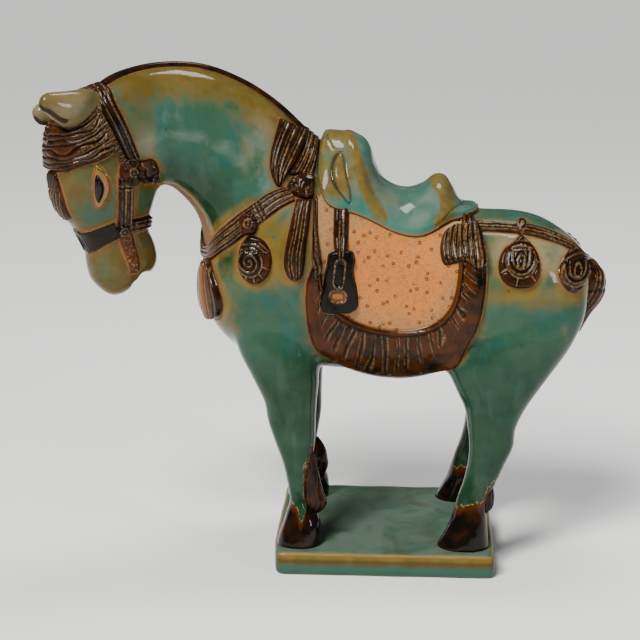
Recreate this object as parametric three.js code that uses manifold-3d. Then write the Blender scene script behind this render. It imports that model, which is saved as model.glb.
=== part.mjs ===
// A glazed pottery horse with its saddle and harness, on a low plinth, fired as one piece.
// Millimetres, +Z up. The head is towards -X and the horse's left side towards -Y.
// The origin is the centre of the plinth's underside.
import * as THREE from 'three';
import { mergeVertices } from 'three/addons/utils/BufferGeometryUtils.js';
import Module from 'manifold-3d';

const wasm = await Module();
wasm.setup();

// The figure, from the plinth's top to the top of the mane, and how deep its hooves are luted in
const FIGURE_HEIGHT = 280;
const HOOF_SINK = 1.2;

// The plinth
const PLINTH_LENGTH = 130;
const PLINTH_DEPTH = 121;
const PLINTH_HEIGHT = 14;
const PLINTH_CORNER = 5;
const PLINTH_EDGE = 2;

// How far the applied work stands proud of the body, how far it is bedded in it,
// and the span and the limit within which the skin's slope is felt
const STRAP_RELIEF = 1.8;
const PENDANT_RELIEF = 3.2;
const HAIR_RELIEF = 2.4;
const CLOTH_RELIEF = 2.6;
const BORDER_RELIEF = 4.2;
const SADDLE_RELIEF = 5.4;
const ROLL_RELIEF = 1.6;
const STIRRUP_RELIEF = 2.6;
const EYE_RELIEF = 1.6;
const BEDDING = 2;
const SKIN_REACH = 1.2;
const STEEPEST_SKIN = 1.6;

// Every place on the figure is in hundredths of FIGURE_HEIGHT: x from the origin, z from the plinth's top.
// It is drawn with a straight neck, and the forehand is turned at the end.
const PART = FIGURE_HEIGHT / 100;
const atX = (x) => x * PART;
const atZ = (z) => PLINTH_HEIGHT + z * PART;

// The turn of the forehand towards the horse's left: an arc from the withers on, fading out above the legs
const TURN_START = -12.5;
const TURN_DEGREES_PER_PART = 0.626;
const TURN_FADES_FROM = 48.5;
const TURN_FADES_TO = 26.5;

// Torso: x, top, bottom, half width
const TORSO = [
  [-39.0, 57.5, 48.6, 5.0],
  [-37.2, 63.5, 45.0, 9.6],
  [-33.9, 70.5, 40.9, 13.2],
  [-28.5, 76.4, 37.4, 15.4],
  [-22.0, 80.7, 35.4, 16.4],
  [-15.0, 81.0, 35.0, 16.4],
  [-8.0, 77.6, 34.6, 16.2],
  [-1.0, 74.0, 33.7, 16.2],
  [6.0, 71.1, 33.7, 16.4],
  [13.0, 69.5, 34.8, 16.6],
  [19.6, 68.9, 37.1, 16.6],
  [26.8, 68.6, 39.3, 16.6],
  [32.1, 67.3, 40.7, 15.9],
  [36.8, 64.6, 42.5, 13.9],
  [40.0, 61.8, 45.4, 11.1],
  [42.0, 58.9, 48.9, 7.1],
];
const TORSO_FULLNESS = 2.15;

// Neck: crest x and z, throat x and z, half width
const NECK_BELLY = 0.12;
const NECK = [
  [-10.7, 79.5, -39.0, 52.1, 14.3],
  [-16.4, 84.0, -38.5, 59.6, 12.9],
  [-23.2, 90.4, -39.0, 64.9, 11.1],
  [-30.4, 95.2, -40.3, 68.5, 9.6],
  [-38.9, 98.4, -42.9, 71.9, 8.6],
  [-48.2, 98.8, -45.8, 74.3, 7.9],
  [-56.4, 97.0, -49.3, 75.0, 7.6],
  [-61.4, 94.0, -53.6, 75.4, 6.8],
];

// Head: face x and z, jaw x and z, half width
const HEAD_FULLNESS = 2.4;
const HEAD = [
  [-63.6, 94.6, -52.1, 96.0, 4.3],
  [-67.1, 91.4, -50.0, 90.7, 6.4],
  [-70.0, 87.1, -48.6, 84.3, 7.5],
  [-70.8, 82.1, -47.9, 79.3, 8.0],
  [-70.8, 76.4, -48.4, 75.0, 8.2],
  [-69.7, 71.4, -49.9, 70.4, 7.3],
  [-66.4, 66.8, -51.0, 66.4, 5.9],
  [-64.2, 62.5, -49.6, 62.9, 5.2],
  [-63.7, 58.6, -49.0, 59.3, 5.4],
  [-62.9, 55.7, -50.4, 56.8, 4.8],
  [-60.7, 53.2, -54.0, 54.4, 3.6],
  [-58.9, 52.2, -56.4, 52.7, 1.8],
];
const MOUTH = { x: -52.9, z: 54.3, radius: 2.4 };

// Legs: z, front x, back x, half width, distance from the middle plane
const FORELEG = [
  [48.6, -35.2, -16.8, 5.2, 8.6],
  [40.4, -32.2, -14.6, 6.3, 9.6],
  [34.6, -28.4, -13.8, 5.6, 10.7],
  [30.0, -25.5, -14.3, 4.6, 11.5],
  [25.7, -24.5, -14.5, 4.1, 12.1],
  [21.4, -23.0, -14.6, 3.8, 12.7],
  [17.1, -21.4, -15.2, 3.2, 13.2],
  [12.9, -20.4, -15.9, 2.7, 13.7],
  [9.3, -19.8, -16.1, 2.8, 14.2],
  [6.8, -20.5, -14.3, 3.3, 14.4],
  [5.0, -21.0, -13.4, 3.9, 14.6],
  [2.6, -21.9, -13.0, 4.3, 14.8],
  [0, -22.6, -13.0, 4.6, 15.0],
];
const HIND_LEG = [
  [54.6, 22.6, 41.0, 4.2, 8.6],
  [49.0, 18.6, 41.3, 6.7, 8.9],
  [43.6, 15.2, 39.1, 7.5, 9.2],
  [38.6, 12.3, 36.0, 7.3, 9.7],
  [33.6, 14.2, 32.2, 6.4, 10.6],
  [29.3, 16.4, 29.2, 5.2, 11.3],
  [25.0, 17.2, 27.2, 4.1, 12.0],
  [21.4, 17.6, 26.8, 3.8, 12.6],
  [18.2, 17.4, 25.4, 3.4, 13.1],
  [14.3, 16.6, 23.6, 2.9, 13.7],
  [10.7, 15.4, 22.1, 2.8, 14.1],
  [7.9, 14.6, 21.4, 3.3, 14.3],
  [5.4, 13.9, 21.6, 3.9, 14.5],
  [2.6, 12.6, 21.8, 4.3, 14.8],
  [0, 11.1, 22.1, 4.6, 15.0],
];

// Feathering behind the fetlocks: z, back x, half width
const FORE_TUFT = { inside: -17.5, centre: 14.0, rows: [
  [18.5, -16.2, 0.8], [15, -14.6, 1.6], [11, -13.4, 2.1], [7.5, -13.2, 1.9], [5.5, -14.0, 0.8],
] };
const HIND_TUFT = { inside: 20.0, centre: 14.2, rows: [
  [14, 22.0, 0.8], [11, 22.8, 1.5], [8, 23.2, 2.0], [5, 23.0, 1.8], [3.4, 21.8, 0.8],
] };

// Tail, bound up in a bun: z, front x, back x, half width
const TAIL = [
  [60.0, 40.0, 42.0, 1.4],
  [58.0, 39.4, 44.4, 2.6],
  [55.4, 39.4, 45.9, 3.4],
  [52.0, 39.6, 46.1, 3.3],
  [48.8, 39.8, 44.7, 2.7],
  [45.6, 39.2, 42.4, 1.9],
  [42.0, 38.4, 40.9, 0.8],
];

// Ears: base and tip as x, y, z, and the blade's half height and half thickness along it
const EARS = [
  { base: [-62.0, -4.4, 92.1], tip: [-74.8, -6.6, 93.8] },
  { base: [-61.4, 4.4, 91.4], tip: [-71.4, 6.0, 89.4] },
];
const EAR_BLADE = [[2.6, 1.7], [3.1, 1.9], [3.0, 1.8], [2.4, 1.4], [1.1, 0.6]];
const EAR_HOLLOW = { size: 0.55, down: 1.5, out: 0.5 };

// Mane: how far it stands above the crest and its half thickness
const MANE_RISE = 0.8;
const MANE_HALF_WIDTH = 1.1;

// Saddle: x, top, lower edge
const SADDLE = [
  [-14.6, 83.2, 78.6],
  [-13.8, 84.5, 74.6],
  [-12.2, 85.1, 71.8],
  [-9.6, 85.2, 70.4],
  [-7.0, 84.3, 69.7],
  [-5.2, 82.2, 69.0],
  [-3.4, 78.6, 68.2],
  [-1.4, 75.6, 67.2],
  [1.2, 73.9, 66.0],
  [4.0, 73.5, 65.2],
  [6.6, 74.5, 65.0],
  [9.0, 76.0, 65.6],
  [11.2, 76.0, 66.6],
  [13.0, 73.9, 67.3],
  [15.2, 70.9, 67.8],
  [18.6, 69.3, 68.4],
];
const SADDLE_ARCH = { power: 1.6, fall: 1.4, columns: 11 };

// Saddle cloth: its middle, half length, shoulder and lowest edge, and where the pleated border starts
const CLOTH = { x: 1.2, halfLength: 18.8, shoulder: 60, lowest: 34.6, roundness: 2.2, border: 0.66 };
const CLOTH_STATIONS = 13;
const CLOTH_COLUMNS = 15;

// Harness on the side of the horse, as x and z
const STRAPS = [
  { path: [[-59.6, 94.6], [-59.6, 90.4], [-58.4, 86.0], [-57.2, 81.0]], width: 3.2 },
  { path: [[-57.4, 78.0], [-57.7, 73.0], [-57.9, 68.0]], width: 3.2 },
  { path: [[-64.0, 63.4], [-62.8, 65.2], [-60.9, 66.5], [-58.4, 67.0]], width: 3.2 },
  { path: [[-58.0, 67.2], [-54.6, 67.7], [-51.2, 67.6]], width: 2.2 },
  { path: [[-57.8, 66.0], [-56.6, 62.0], [-54.9, 57.6]], width: 2.6 },
  { path: [[-20.6, 73.6], [-24.4, 71.4], [-29.6, 68.0], [-34.0, 64.6], [-37.2, 60.4]], width: 2.8 },
  { path: [[18.6, 66.2], [23.0, 66.2], [28.0, 65.7], [33.0, 64.0], [37.4, 61.6], [40.8, 58.6]], width: 2.2 },
];
const LEATHER = { path: [[-8.9, 70.6], [-8.8, 66.0], [-9.2, 61.0]], width: 2.6 };
const BOSSES = [
  { x: -56.4, z: 79.6, radius: 2.0 },
  { x: -58.2, z: 67.0, radius: 1.5 },
  { x: -30.3, z: 67.7, radius: 1.6 },
  { x: 27.3, z: 66.0, radius: 1.7 },
];
const PENDANTS = [
  { x: -29.6, z: 60.2, halfLength: 3.9, halfHeight: 5.0 },
  { x: 26.8, z: 60.4, halfLength: 4.3, halfHeight: 5.2 },
  { x: 38.0, z: 58.3, halfLength: 3.3, halfHeight: 4.6 },
  { x: -51.6, z: 78.6, halfLength: 2.6, halfHeight: 2.2 },
];
const EYE = { x: -63.6, z: 76.4, halfLength: 1.5, halfHeight: 3.4 };

// Locks and flaps laid on the side, as outlines of x and z
const LOCKS = [
  [[-22.0, 87.2], [-24.6, 83.4], [-25.3, 78.6], [-23.4, 75.2], [-20.4, 78.6], [-16.9, 84.2]],
  [[-16.6, 84.0], [-19.4, 79.8], [-20.8, 76.0], [-18.4, 72.6], [-14.9, 73.0], [-14.4, 78.0], [-14.6, 82.6]],
];
const FLAPS = [
  [[-19.7, 72.8], [-21.6, 68.0], [-22.3, 60.0], [-20.2, 56.6], [-17.8, 58.0], [-16.0, 66.0], [-15.4, 72.4]],
  [
    [10.6, 67.2], [10.3, 63.4], [11.4, 59.6], [15.2, 57.8], [20.0, 57.8], [19.8, 63.4], [18.0, 67.4],
    [14.4, 67.8],
  ],
];
const SADDLE_ROLLS = [
  [[-9.4, 80.6], [-11.4, 78.4], [-11.6, 75.6], [-10.2, 73.6], [-7.8, 71.8], [-8.4, 75.6]],
  [[-8.6, 83.0], [-7.2, 78.4], [-5.0, 73.6], [-1.0, 69.2], [-2.2, 68.6], [-6.6, 71.6], [-8.2, 76.6]],
];
const STIRRUP = {
  outline: [
    [-11.2, 62.4], [-9.0, 60.8], [-6.6, 62.4], [-5.6, 57.0], [-5.6, 50.4], [-9.4, 49.0], [-13.4, 50.2],
    [-12.8, 57.0],
  ],
  window: { x: -9.9, z: 53.2, halfLength: 1.8, halfHeight: 0.9 },
};

// Pads that cross the middle of the chest, the nose and the brow: place, lean of their height, half sizes, y
const PAD_DEPTH = 1.6;
const CHEST_PENDANT = { x: -38.2, z: 53.4, lean: 0.1, halfHeight: 6.4, halfWidth: 3.6, y: -2.0, relief: 1.0 };
const NOSE_STRAP = { x: -64.4, z: 63.2, lean: -0.2, halfHeight: 1.7, halfWidth: 3.4, y: 0, relief: 0.5 };
const FRONTLET = { x: -69.0, z: 73.4, lean: -0.3, halfHeight: 4.6, halfWidth: 3.2, y: 0, relief: 1.8 };
// The forelock: z, reach behind the face, half width
const FORELOCK_RISE = 0.5;
const FORELOCK = [
  [91.0, 5.0, 4.2], [88.0, 8.5, 6.5], [84.6, 10.6, 7.5], [82.0, 9.6, 7.8], [80.0, 6.5, 6.8], [78.4, 2.5, 4.0],
];

// Facets of the lofts, the shortest edge kept, and how far a face may tilt or shrink when an edge goes
const BODY_FACETS = 16;
const LEG_FACETS = 10;
const SMALL_FACETS = 8;
const OUTLINE_POINTS = 9;
const RINGS_PER_STATION = 1;
const MANE_RINGS = 11;
const STRAP_STEP = 13;
const CUSHION_RIM = 0.5;
const CUSHION_TOP = 0.75;
const EAR_FACETS = 7;
const SHORTEST_EDGE = 0.8;
const LARGEST_TILT = 0.5;
const SMALLEST_FACE = 5e-4;

// Rows of numbers made smooth column by column, as count rows
function smoothRows(rows, count) {
  const last = rows.length - 1;
  return Array.from({ length: count }, (_, step) => {
    const u = (step / (count - 1)) * last;
    const i = Math.min(Math.floor(u), last - 1);
    const t = u - i;
    return rows[i].map((value, column) => {
      const before = rows[Math.max(i - 1, 0)][column];
      const next = rows[i + 1][column];
      const after = rows[Math.min(i + 2, last)][column];
      const bend = 2 * before - 5 * value + 4 * next - after;
      const twist = 3 * value - before - 3 * next + after;
      return value + 0.5 * t * (next - before + t * (bend + t * twist));
    });
  });
}
const denser = (rows) => smoothRows(rows, Math.round(rows.length * RINGS_PER_STATION));

// The row of a table at a given first column, between its two neighbours
function rowAt(rows, key) {
  const i = THREE.MathUtils.clamp(rows.findIndex((row) => row[0] > key) - 1, 0, rows.length - 2);
  const t = THREE.MathUtils.clamp((key - rows[i][0]) / (rows[i + 1][0] - rows[i][0]), 0, 1);
  return rows[i].map((value, column) => THREE.MathUtils.lerp(value, rows[i + 1][column], t));
}

const powered = (value, power) => Math.sign(value) * Math.abs(value) ** power;

// A closed section between two points of the middle plane: fullness 2 is an ellipse, more is squarer,
// and a belly carries its widest place towards the second point
function section(
  first, second, halfWidth, { centreY = 0, fullness = 2.2, belly = 0, facets = BODY_FACETS } = {},
) {
  return Array.from({ length: facets }, (_, i) => {
    const angle = (2 * Math.PI * i) / facets;
    const share = 0.5 - 0.5 * powered(Math.cos(angle), 2 / fullness);
    const width = halfWidth * powered(Math.sin(angle), 2 / fullness) * (1 + belly * (2 * share - 1));
    const x = THREE.MathUtils.lerp(first[0], second[0], share);
    return new THREE.Vector3(x, centreY + width, THREE.MathUtils.lerp(first[1], second[1], share));
  });
}

function geometryOf(positions, index) {
  const geometry = new THREE.BufferGeometry().setFromPoints(positions);
  geometry.setIndex(index);
  return geometry;
}

// A closed skin over sections of equal length, with both ends closed by a fan
function loft(sections) {
  const facets = sections[0].length;
  const positions = sections.flat();
  const index = [];
  for (let row = 0; row + 1 < sections.length; row += 1) {
    for (let i = 0; i < facets; i += 1) {
      const a = row * facets + i;
      const b = row * facets + ((i + 1) % facets);
      index.push(a, b, b + facets, a, b + facets, a + facets);
    }
  }
  for (const row of [0, sections.length - 1]) {
    const hub = positions.length;
    positions.push(sections[row].reduce((sum, p) => sum.add(p), new THREE.Vector3()).divideScalar(facets));
    for (let i = 0; i < facets; i += 1) {
      const rim = [row * facets + i, row * facets + ((i + 1) % facets)];
      index.push(hub, ...(row === 0 ? rim.reverse() : rim));
    }
  }
  return geometryOf(positions, index);
}

// A closed sheet between an outer and an inner grid of points
function sheet(outer, inner) {
  const rows = outer.length;
  const columns = outer[0].length;
  const half = rows * columns;
  const index = [];
  const quad = (a, b, c, d) => index.push(a, b, c, a, c, d);
  for (let row = 0; row + 1 < rows; row += 1) {
    for (let column = 0; column + 1 < columns; column += 1) {
      const a = row * columns + column;
      quad(a, a + 1, a + columns + 1, a + columns);
      quad(half + a, half + a + columns, half + a + columns + 1, half + a + 1);
    }
    const left = row * columns;
    const right = left + columns - 1;
    quad(left, left + columns, half + left + columns, half + left);
    quad(right, half + right, half + right + columns, right + columns);
  }
  for (let column = 0; column + 1 < columns; column += 1) {
    const end = (rows - 1) * columns + column;
    quad(column, half + column, half + column + 1, column + 1);
    quad(end, end + 1, half + end + 1, half + end);
  }
  return geometryOf([...outer.flat(), ...inner.flat()], index);
}

// The volume that a closed geometry encloses, times six and negative if it is inside out
function signedVolume({ attributes, index }) {
  const corner = (i) => new THREE.Vector3().fromBufferAttribute(attributes.position, index.getX(i));
  let sum = 0;
  for (let i = 0; i < index.count; i += 3) {
    sum += corner(i).dot(corner(i + 1).cross(corner(i + 2)));
  }
  return sum;
}

function solid(geometry) {
  const bare = geometry.clone();
  bare.deleteAttribute('normal');
  bare.deleteAttribute('uv');
  const merged = mergeVertices(bare, 1e-4);
  const triVerts = Uint32Array.from(merged.index.array);
  if (signedVolume(merged) < 0) {
    for (let i = 0; i < triVerts.length; i += 3) {
      [triVerts[i], triVerts[i + 1]] = [triVerts[i + 1], triVerts[i]];
    }
  }
  const vertProperties = Float32Array.from(merged.attributes.position.array);
  return new wasm.Manifold(new wasm.Mesh({ numProp: 3, vertProperties, triVerts }));
}

const mirrored = (geometry) => geometry.clone().applyMatrix4(new THREE.Matrix4().makeScale(1, -1, 1));
const bothSides = (geometry) => [solid(geometry), solid(mirrored(geometry))];
const union = (solids) => solids.reduce((sum, each) => sum.add(each));

function torso() {
  return solid(loft(denser(TORSO).map(([x, top, bottom, halfWidth]) => (
    section([atX(x), atZ(top)], [atX(x), atZ(bottom)], halfWidth * PART, { fullness: TORSO_FULLNESS })
  ))));
}

function neck() {
  return solid(loft(denser(NECK).map(([crestX, crestZ, throatX, throatZ, halfWidth]) => (
    section([atX(crestX), atZ(crestZ)], [atX(throatX), atZ(throatZ)], halfWidth * PART, { belly: NECK_BELLY })
  ))));
}

function head() {
  const skull = solid(loft(denser(HEAD).map(([faceX, faceZ, jawX, jawZ, halfWidth]) => (
    section([atX(faceX), atZ(faceZ)], [atX(jawX), atZ(jawZ)], halfWidth * PART, { fullness: HEAD_FULLNESS })
  ))));
  const mouth = new THREE.CylinderGeometry(MOUTH.radius * PART, MOUTH.radius * PART, 20 * PART, SMALL_FACETS);
  return skull.subtract(solid(mouth.translate(atX(MOUTH.x), 0, atZ(MOUTH.z))));
}

function leg(stations) {
  const rings = denser(stations).map(([z, front, back, halfWidth, centre]) => section(
    [atX(front), atZ(z)],
    [atX(back), atZ(z)],
    halfWidth * PART,
    { centreY: -centre * PART, facets: LEG_FACETS },
  ));
  rings.push(rings.at(-1).map((point) => point.clone().setZ(PLINTH_HEIGHT - HOOF_SINK)));
  return loft(rings);
}

function tuft({ inside, centre, rows }) {
  return loft(rows.map(([z, back, halfWidth]) => section(
    [atX(inside), atZ(z)],
    [atX(back), atZ(z)],
    halfWidth * PART,
    { centreY: -centre * PART, facets: SMALL_FACETS },
  )));
}

function tail() {
  return solid(loft(TAIL.map(([z, front, back, halfWidth]) => (
    section([atX(front), atZ(z)], [atX(back), atZ(z)], halfWidth * PART, { facets: SMALL_FACETS })
  ))));
}

function mane() {
  return solid(loft(smoothRows(NECK, MANE_RINGS).map(([crestX, crestZ, throatX, throatZ]) => {
    const up = new THREE.Vector2(crestX - throatX, crestZ - throatZ).normalize();
    const top = [atX(crestX + MANE_RISE * up.x), atZ(crestZ + MANE_RISE * up.y)];
    const root = [atX(crestX - MANE_RISE * up.x), atZ(crestZ - MANE_RISE * up.y)];
    return section(top, root, MANE_HALF_WIDTH * PART, { fullness: 3, facets: 8 });
  })));
}

// An ear is a leaf between its base and its tip, hollowed from below by a smaller one
function ear({ base, tip }) {
  const from = new THREE.Vector3(atX(base[0]), base[1] * PART, atZ(base[2]));
  const to = new THREE.Vector3(atX(tip[0]), tip[1] * PART, atZ(tip[2]));
  const along = to.clone().sub(from).normalize();
  const hand = Math.sign(base[1]);
  const side = new THREE.Vector3(0, hand, 0).addScaledVector(along, -hand * along.y);
  const up = along.clone().cross(side).multiplyScalar(-Math.sign(base[1]));
  const leaf = (scale, shift) => loft(EAR_BLADE.map(([height, thickness], i) => {
    const middle = from.clone().lerp(to, i / (EAR_BLADE.length - 1)).add(shift);
    return Array.from({ length: EAR_FACETS }, (_, k) => {
      const angle = (2 * Math.PI * k) / EAR_FACETS;
      return middle.clone()
        .addScaledVector(up, Math.cos(angle) * height * PART * scale)
        .addScaledVector(side, Math.sin(angle) * thickness * PART * scale);
    });
  }));
  const { size, down, out } = EAR_HOLLOW;
  const hollow = up.clone().multiplyScalar(-down * PART).addScaledVector(side, out * PART);
  return solid(leaf(1, new THREE.Vector3())).subtract(solid(leaf(size, hollow)));
}

function plinth() {
  const x = PLINTH_LENGTH / 2 - PLINTH_EDGE;
  const y = PLINTH_DEPTH / 2 - PLINTH_EDGE;
  const r = PLINTH_CORNER - PLINTH_EDGE;
  const outline = new THREE.Shape();
  outline.absarc(x - r, y - r, r, 0, Math.PI / 2);
  outline.absarc(r - x, y - r, r, Math.PI / 2, Math.PI);
  outline.absarc(r - x, r - y, r, Math.PI, Math.PI * 1.5);
  outline.absarc(x - r, r - y, r, Math.PI * 1.5, Math.PI * 2);
  const slab = new THREE.ExtrudeGeometry(outline, {
    depth: PLINTH_HEIGHT - 2 * PLINTH_EDGE,
    bevelThickness: PLINTH_EDGE,
    bevelSize: PLINTH_EDGE,
    bevelSegments: 1,
    curveSegments: 3,
  });
  return solid(slab.translate(0, 0, PLINTH_EDGE));
}

// How far the left side of a solid stands from the middle plane at x, z, or 0 past its outline
function sideOf(form) {
  const { vertProperties: p, triVerts } = form.getMesh();
  const corner = (i) => p.subarray(3 * triVerts[i], 3 * triVerts[i] + 3);
  const triangle = (i) => [0, 1, 2].map((k) => corner(3 * i + k));
  const triangles = Array.from({ length: triVerts.length / 3 }, (_, i) => triangle(i))
    .filter((corners) => corners.some((c) => c[1] < 0));
  return (x, z) => {
    let widest = 0;
    for (const [a, b, c] of triangles) {
      const area = (b[0] - a[0]) * (c[2] - a[2]) - (c[0] - a[0]) * (b[2] - a[2]);
      const u = ((x - a[0]) * (c[2] - a[2]) - (c[0] - a[0]) * (z - a[2])) / area;
      const v = ((b[0] - a[0]) * (z - a[2]) - (x - a[0]) * (b[2] - a[2])) / area;
      if (u >= 0 && v >= 0 && u + v <= 1) {
        widest = Math.max(widest, -(a[1] + u * (b[1] - a[1]) + v * (c[1] - a[1])));
      }
    }
    return widest;
  };
}

// A point standing off the left side by an offset, square to the skin
function standOff(side, x, z, offset) {
  const middle = side(x, z);
  const slope = (dx, dz) => {
    const ahead = side(x + dx, z + dz) || middle - 2 * SKIN_REACH;
    const behind = side(x - dx, z - dz) || middle - 2 * SKIN_REACH;
    return THREE.MathUtils.clamp((ahead - behind) / (2 * SKIN_REACH), -STEEPEST_SKIN, STEEPEST_SKIN);
  };
  const normal = new THREE.Vector3(-slope(SKIN_REACH, 0), -1, -slope(0, SKIN_REACH)).normalize();
  return new THREE.Vector3(x, -middle, z).addScaledVector(normal, offset);
}

// A flat strap laid along a path on the side, a little rounded across
function strap(side, { path, width }) {
  const curve = new THREE.SplineCurve(path.map(([x, z]) => new THREE.Vector2(atX(x), atZ(z))));
  const steps = Math.ceil(curve.getLength() / STRAP_STEP);
  const across = [-0.5, 0, 0.5];
  const grid = (offsets) => Array.from({ length: steps + 1 }, (_, i) => {
    const middle = curve.getPointAt(i / steps);
    const tangent = curve.getTangentAt(i / steps);
    return across.map((share, k) => standOff(
      side,
      middle.x - tangent.y * share * width * PART,
      middle.y + tangent.x * share * width * PART,
      offsets[k],
    ));
  });
  const outside = grid([0.5, 1, 0.5].map((share) => share * STRAP_RELIEF));
  return sheet(outside, grid([-BEDDING, -BEDDING, -BEDDING]));
}

// A cushion laid on the side inside a closed outline of points
function cushion(side, outline, relief) {
  const centre = outline.reduce((sum, p) => sum.add(p), new THREE.Vector2()).divideScalar(outline.length);
  const ring = (size, offset) => outline.map((p) => {
    const { x, y } = centre.clone().lerp(p, size);
    return standOff(side, x, y, offset);
  });
  return loft([ring(1, -BEDDING), ring(1, relief * CUSHION_RIM), ring(CUSHION_TOP, relief)]);
}

function oval({ x, z, halfLength, halfHeight }) {
  return new THREE.EllipseCurve(atX(x), atZ(z), halfLength * PART, halfHeight * PART).getPoints(SMALL_FACETS)
    .slice(0, -1);
}

// An almond, pointed above and below
function almond({ x, z, halfLength, halfHeight }) {
  return Array.from({ length: SMALL_FACETS }, (_, i) => {
    const angle = (2 * Math.PI * i) / SMALL_FACETS;
    const height = Math.cos(angle);
    const width = Math.sign(Math.sin(angle)) * (1 - height * height);
    return new THREE.Vector2(atX(x + halfLength * width), atZ(z + halfHeight * height));
  });
}

function smoothOutline(points, count) {
  const places = points.map(([x, z]) => new THREE.Vector3(atX(x), atZ(z), 0));
  const curve = new THREE.CatmullRomCurve3(places, true);
  return curve.getSpacedPoints(count).slice(0, -1).map(({ x, y }) => new THREE.Vector2(x, y));
}

// A pad across the middle plane, facing forwards
function pad({ x, z, lean, halfHeight, halfWidth, y, relief }) {
  const layer = (forward, size) => section(
    [atX(x - forward + lean * halfHeight), atZ(z + halfHeight * size)],
    [atX(x - forward - lean * halfHeight), atZ(z - halfHeight * size)],
    halfWidth * size * PART,
    { centreY: y * PART, facets: SMALL_FACETS },
  );
  return solid(loft([layer(-PAD_DEPTH, 1), layer(relief * CUSHION_RIM, 1), layer(relief, CUSHION_TOP)]));
}

// The forelock covers the brow from side to side, standing a little off the face
function forelock() {
  return solid(loft(FORELOCK.map(([z, reach, halfWidth]) => {
    const face = rowAt([...HEAD].reverse().map(([x, height]) => [height, x]), z)[1];
    return section([atX(face - FORELOCK_RISE), atZ(z)], [atX(face + reach), atZ(z)], halfWidth * PART, {
      fullness: 2.8,
      facets: SMALL_FACETS,
    });
  })));
}

// Points round the torso at x, from one edge over the back to the other, standing off it by offset(share),
// with share 0 on the back and 1 at the edge
function overBack(x, edge, columns, offset) {
  const [, top, bottom, halfWidth] = rowAt(TORSO, x);
  const drop = THREE.MathUtils.clamp((top - edge) / (top - bottom), 0.02, 0.96);
  const reach = Math.acos(powered(1 - 2 * drop, TORSO_FULLNESS / 2));
  return Array.from({ length: columns }, (_, i) => {
    const share = -1 + (2 * i) / (columns - 1);
    const sine = Math.sin(share * reach);
    const cosine = Math.cos(share * reach);
    const along = powered(cosine, 2 / TORSO_FULLNESS);
    const z = atZ(top) - (atZ(top) - atZ(bottom)) * (0.5 - 0.5 * along);
    const normal = new THREE.Vector3(0, sine, cosine);
    return new THREE.Vector3(atX(x), halfWidth * PART * powered(sine, 2 / TORSO_FULLNESS), z)
      .addScaledVector(normal, offset(Math.abs(share)));
  });
}

function saddle() {
  const { power, fall, columns } = SADDLE_ARCH;
  const layer = (offset) => SADDLE.map(([x, top, edge]) => {
    const rise = (top - rowAt(TORSO, x)[1]) * PART;
    return overBack(x, edge, columns, (share) => offset(share, rise));
  });
  const outside = (share, rise) => {
    const lip = share < 1 ? SADDLE_RELIEF : CLOTH_RELIEF;
    return lip + (rise - lip) * Math.max(0, 1 - share ** power) ** fall;
  };
  return solid(sheet(layer(outside), layer(() => -BEDDING)));
}

function saddleCloth() {
  const depth = CLOTH.shoulder - CLOTH.lowest;
  const lower = (u) => CLOTH.shoulder
    - depth * Math.max(0, 1 - Math.abs(u) ** CLOTH.roundness) ** (1 / CLOTH.roundness);
  const layer = (offset) => Array.from({ length: CLOTH_STATIONS }, (_, i) => {
    const u = Math.sin((Math.PI / 2) * (-1 + (2 * i) / (CLOTH_STATIONS - 1)));
    const x = CLOTH.x + u * CLOTH.halfLength;
    return overBack(x, lower(u), CLOTH_COLUMNS, (share) => offset(share, Math.abs(u)));
  });
  const outside = (share, u) => {
    if (share === 1 || u === 1) return CLOTH_RELIEF;
    return Math.hypot(share, u ** 3) > CLOTH.border ? BORDER_RELIEF : CLOTH_RELIEF;
  };
  return solid(sheet(layer(outside), layer(() => -BEDDING)));
}

function stirrups(side) {
  const { outline, window } = STIRRUP;
  const plate = cushion(side, smoothOutline(outline, 2 * OUTLINE_POINTS), STIRRUP_RELIEF);
  const hole = cushion(side, oval(window), 2 * STIRRUP_RELIEF);
  return [solid(plate).subtract(solid(hole)), solid(mirrored(plate)).subtract(solid(mirrored(hole)))];
}

// The arc that turns the forehand; the forelegs below it stay where they stand
function turned(x, y, z) {
  const fade = THREE.MathUtils.smoothstep(z, atZ(TURN_FADES_TO), atZ(TURN_FADES_FROM));
  const curvature = (fade * THREE.MathUtils.degToRad(TURN_DEGREES_PER_PART)) / PART;
  const along = atX(TURN_START) - x;
  if (along <= 0 || curvature < 1e-9) return [x, y, z];
  const angle = curvature * along;
  return [
    atX(TURN_START) - Math.sin(angle) / curvature - y * Math.sin(angle),
    (Math.cos(angle) - 1) / curvature + y * Math.cos(angle),
    z,
  ];
}

const normalOf = (a, b, c) => b.clone().sub(a).cross(c.clone().sub(a));

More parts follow.
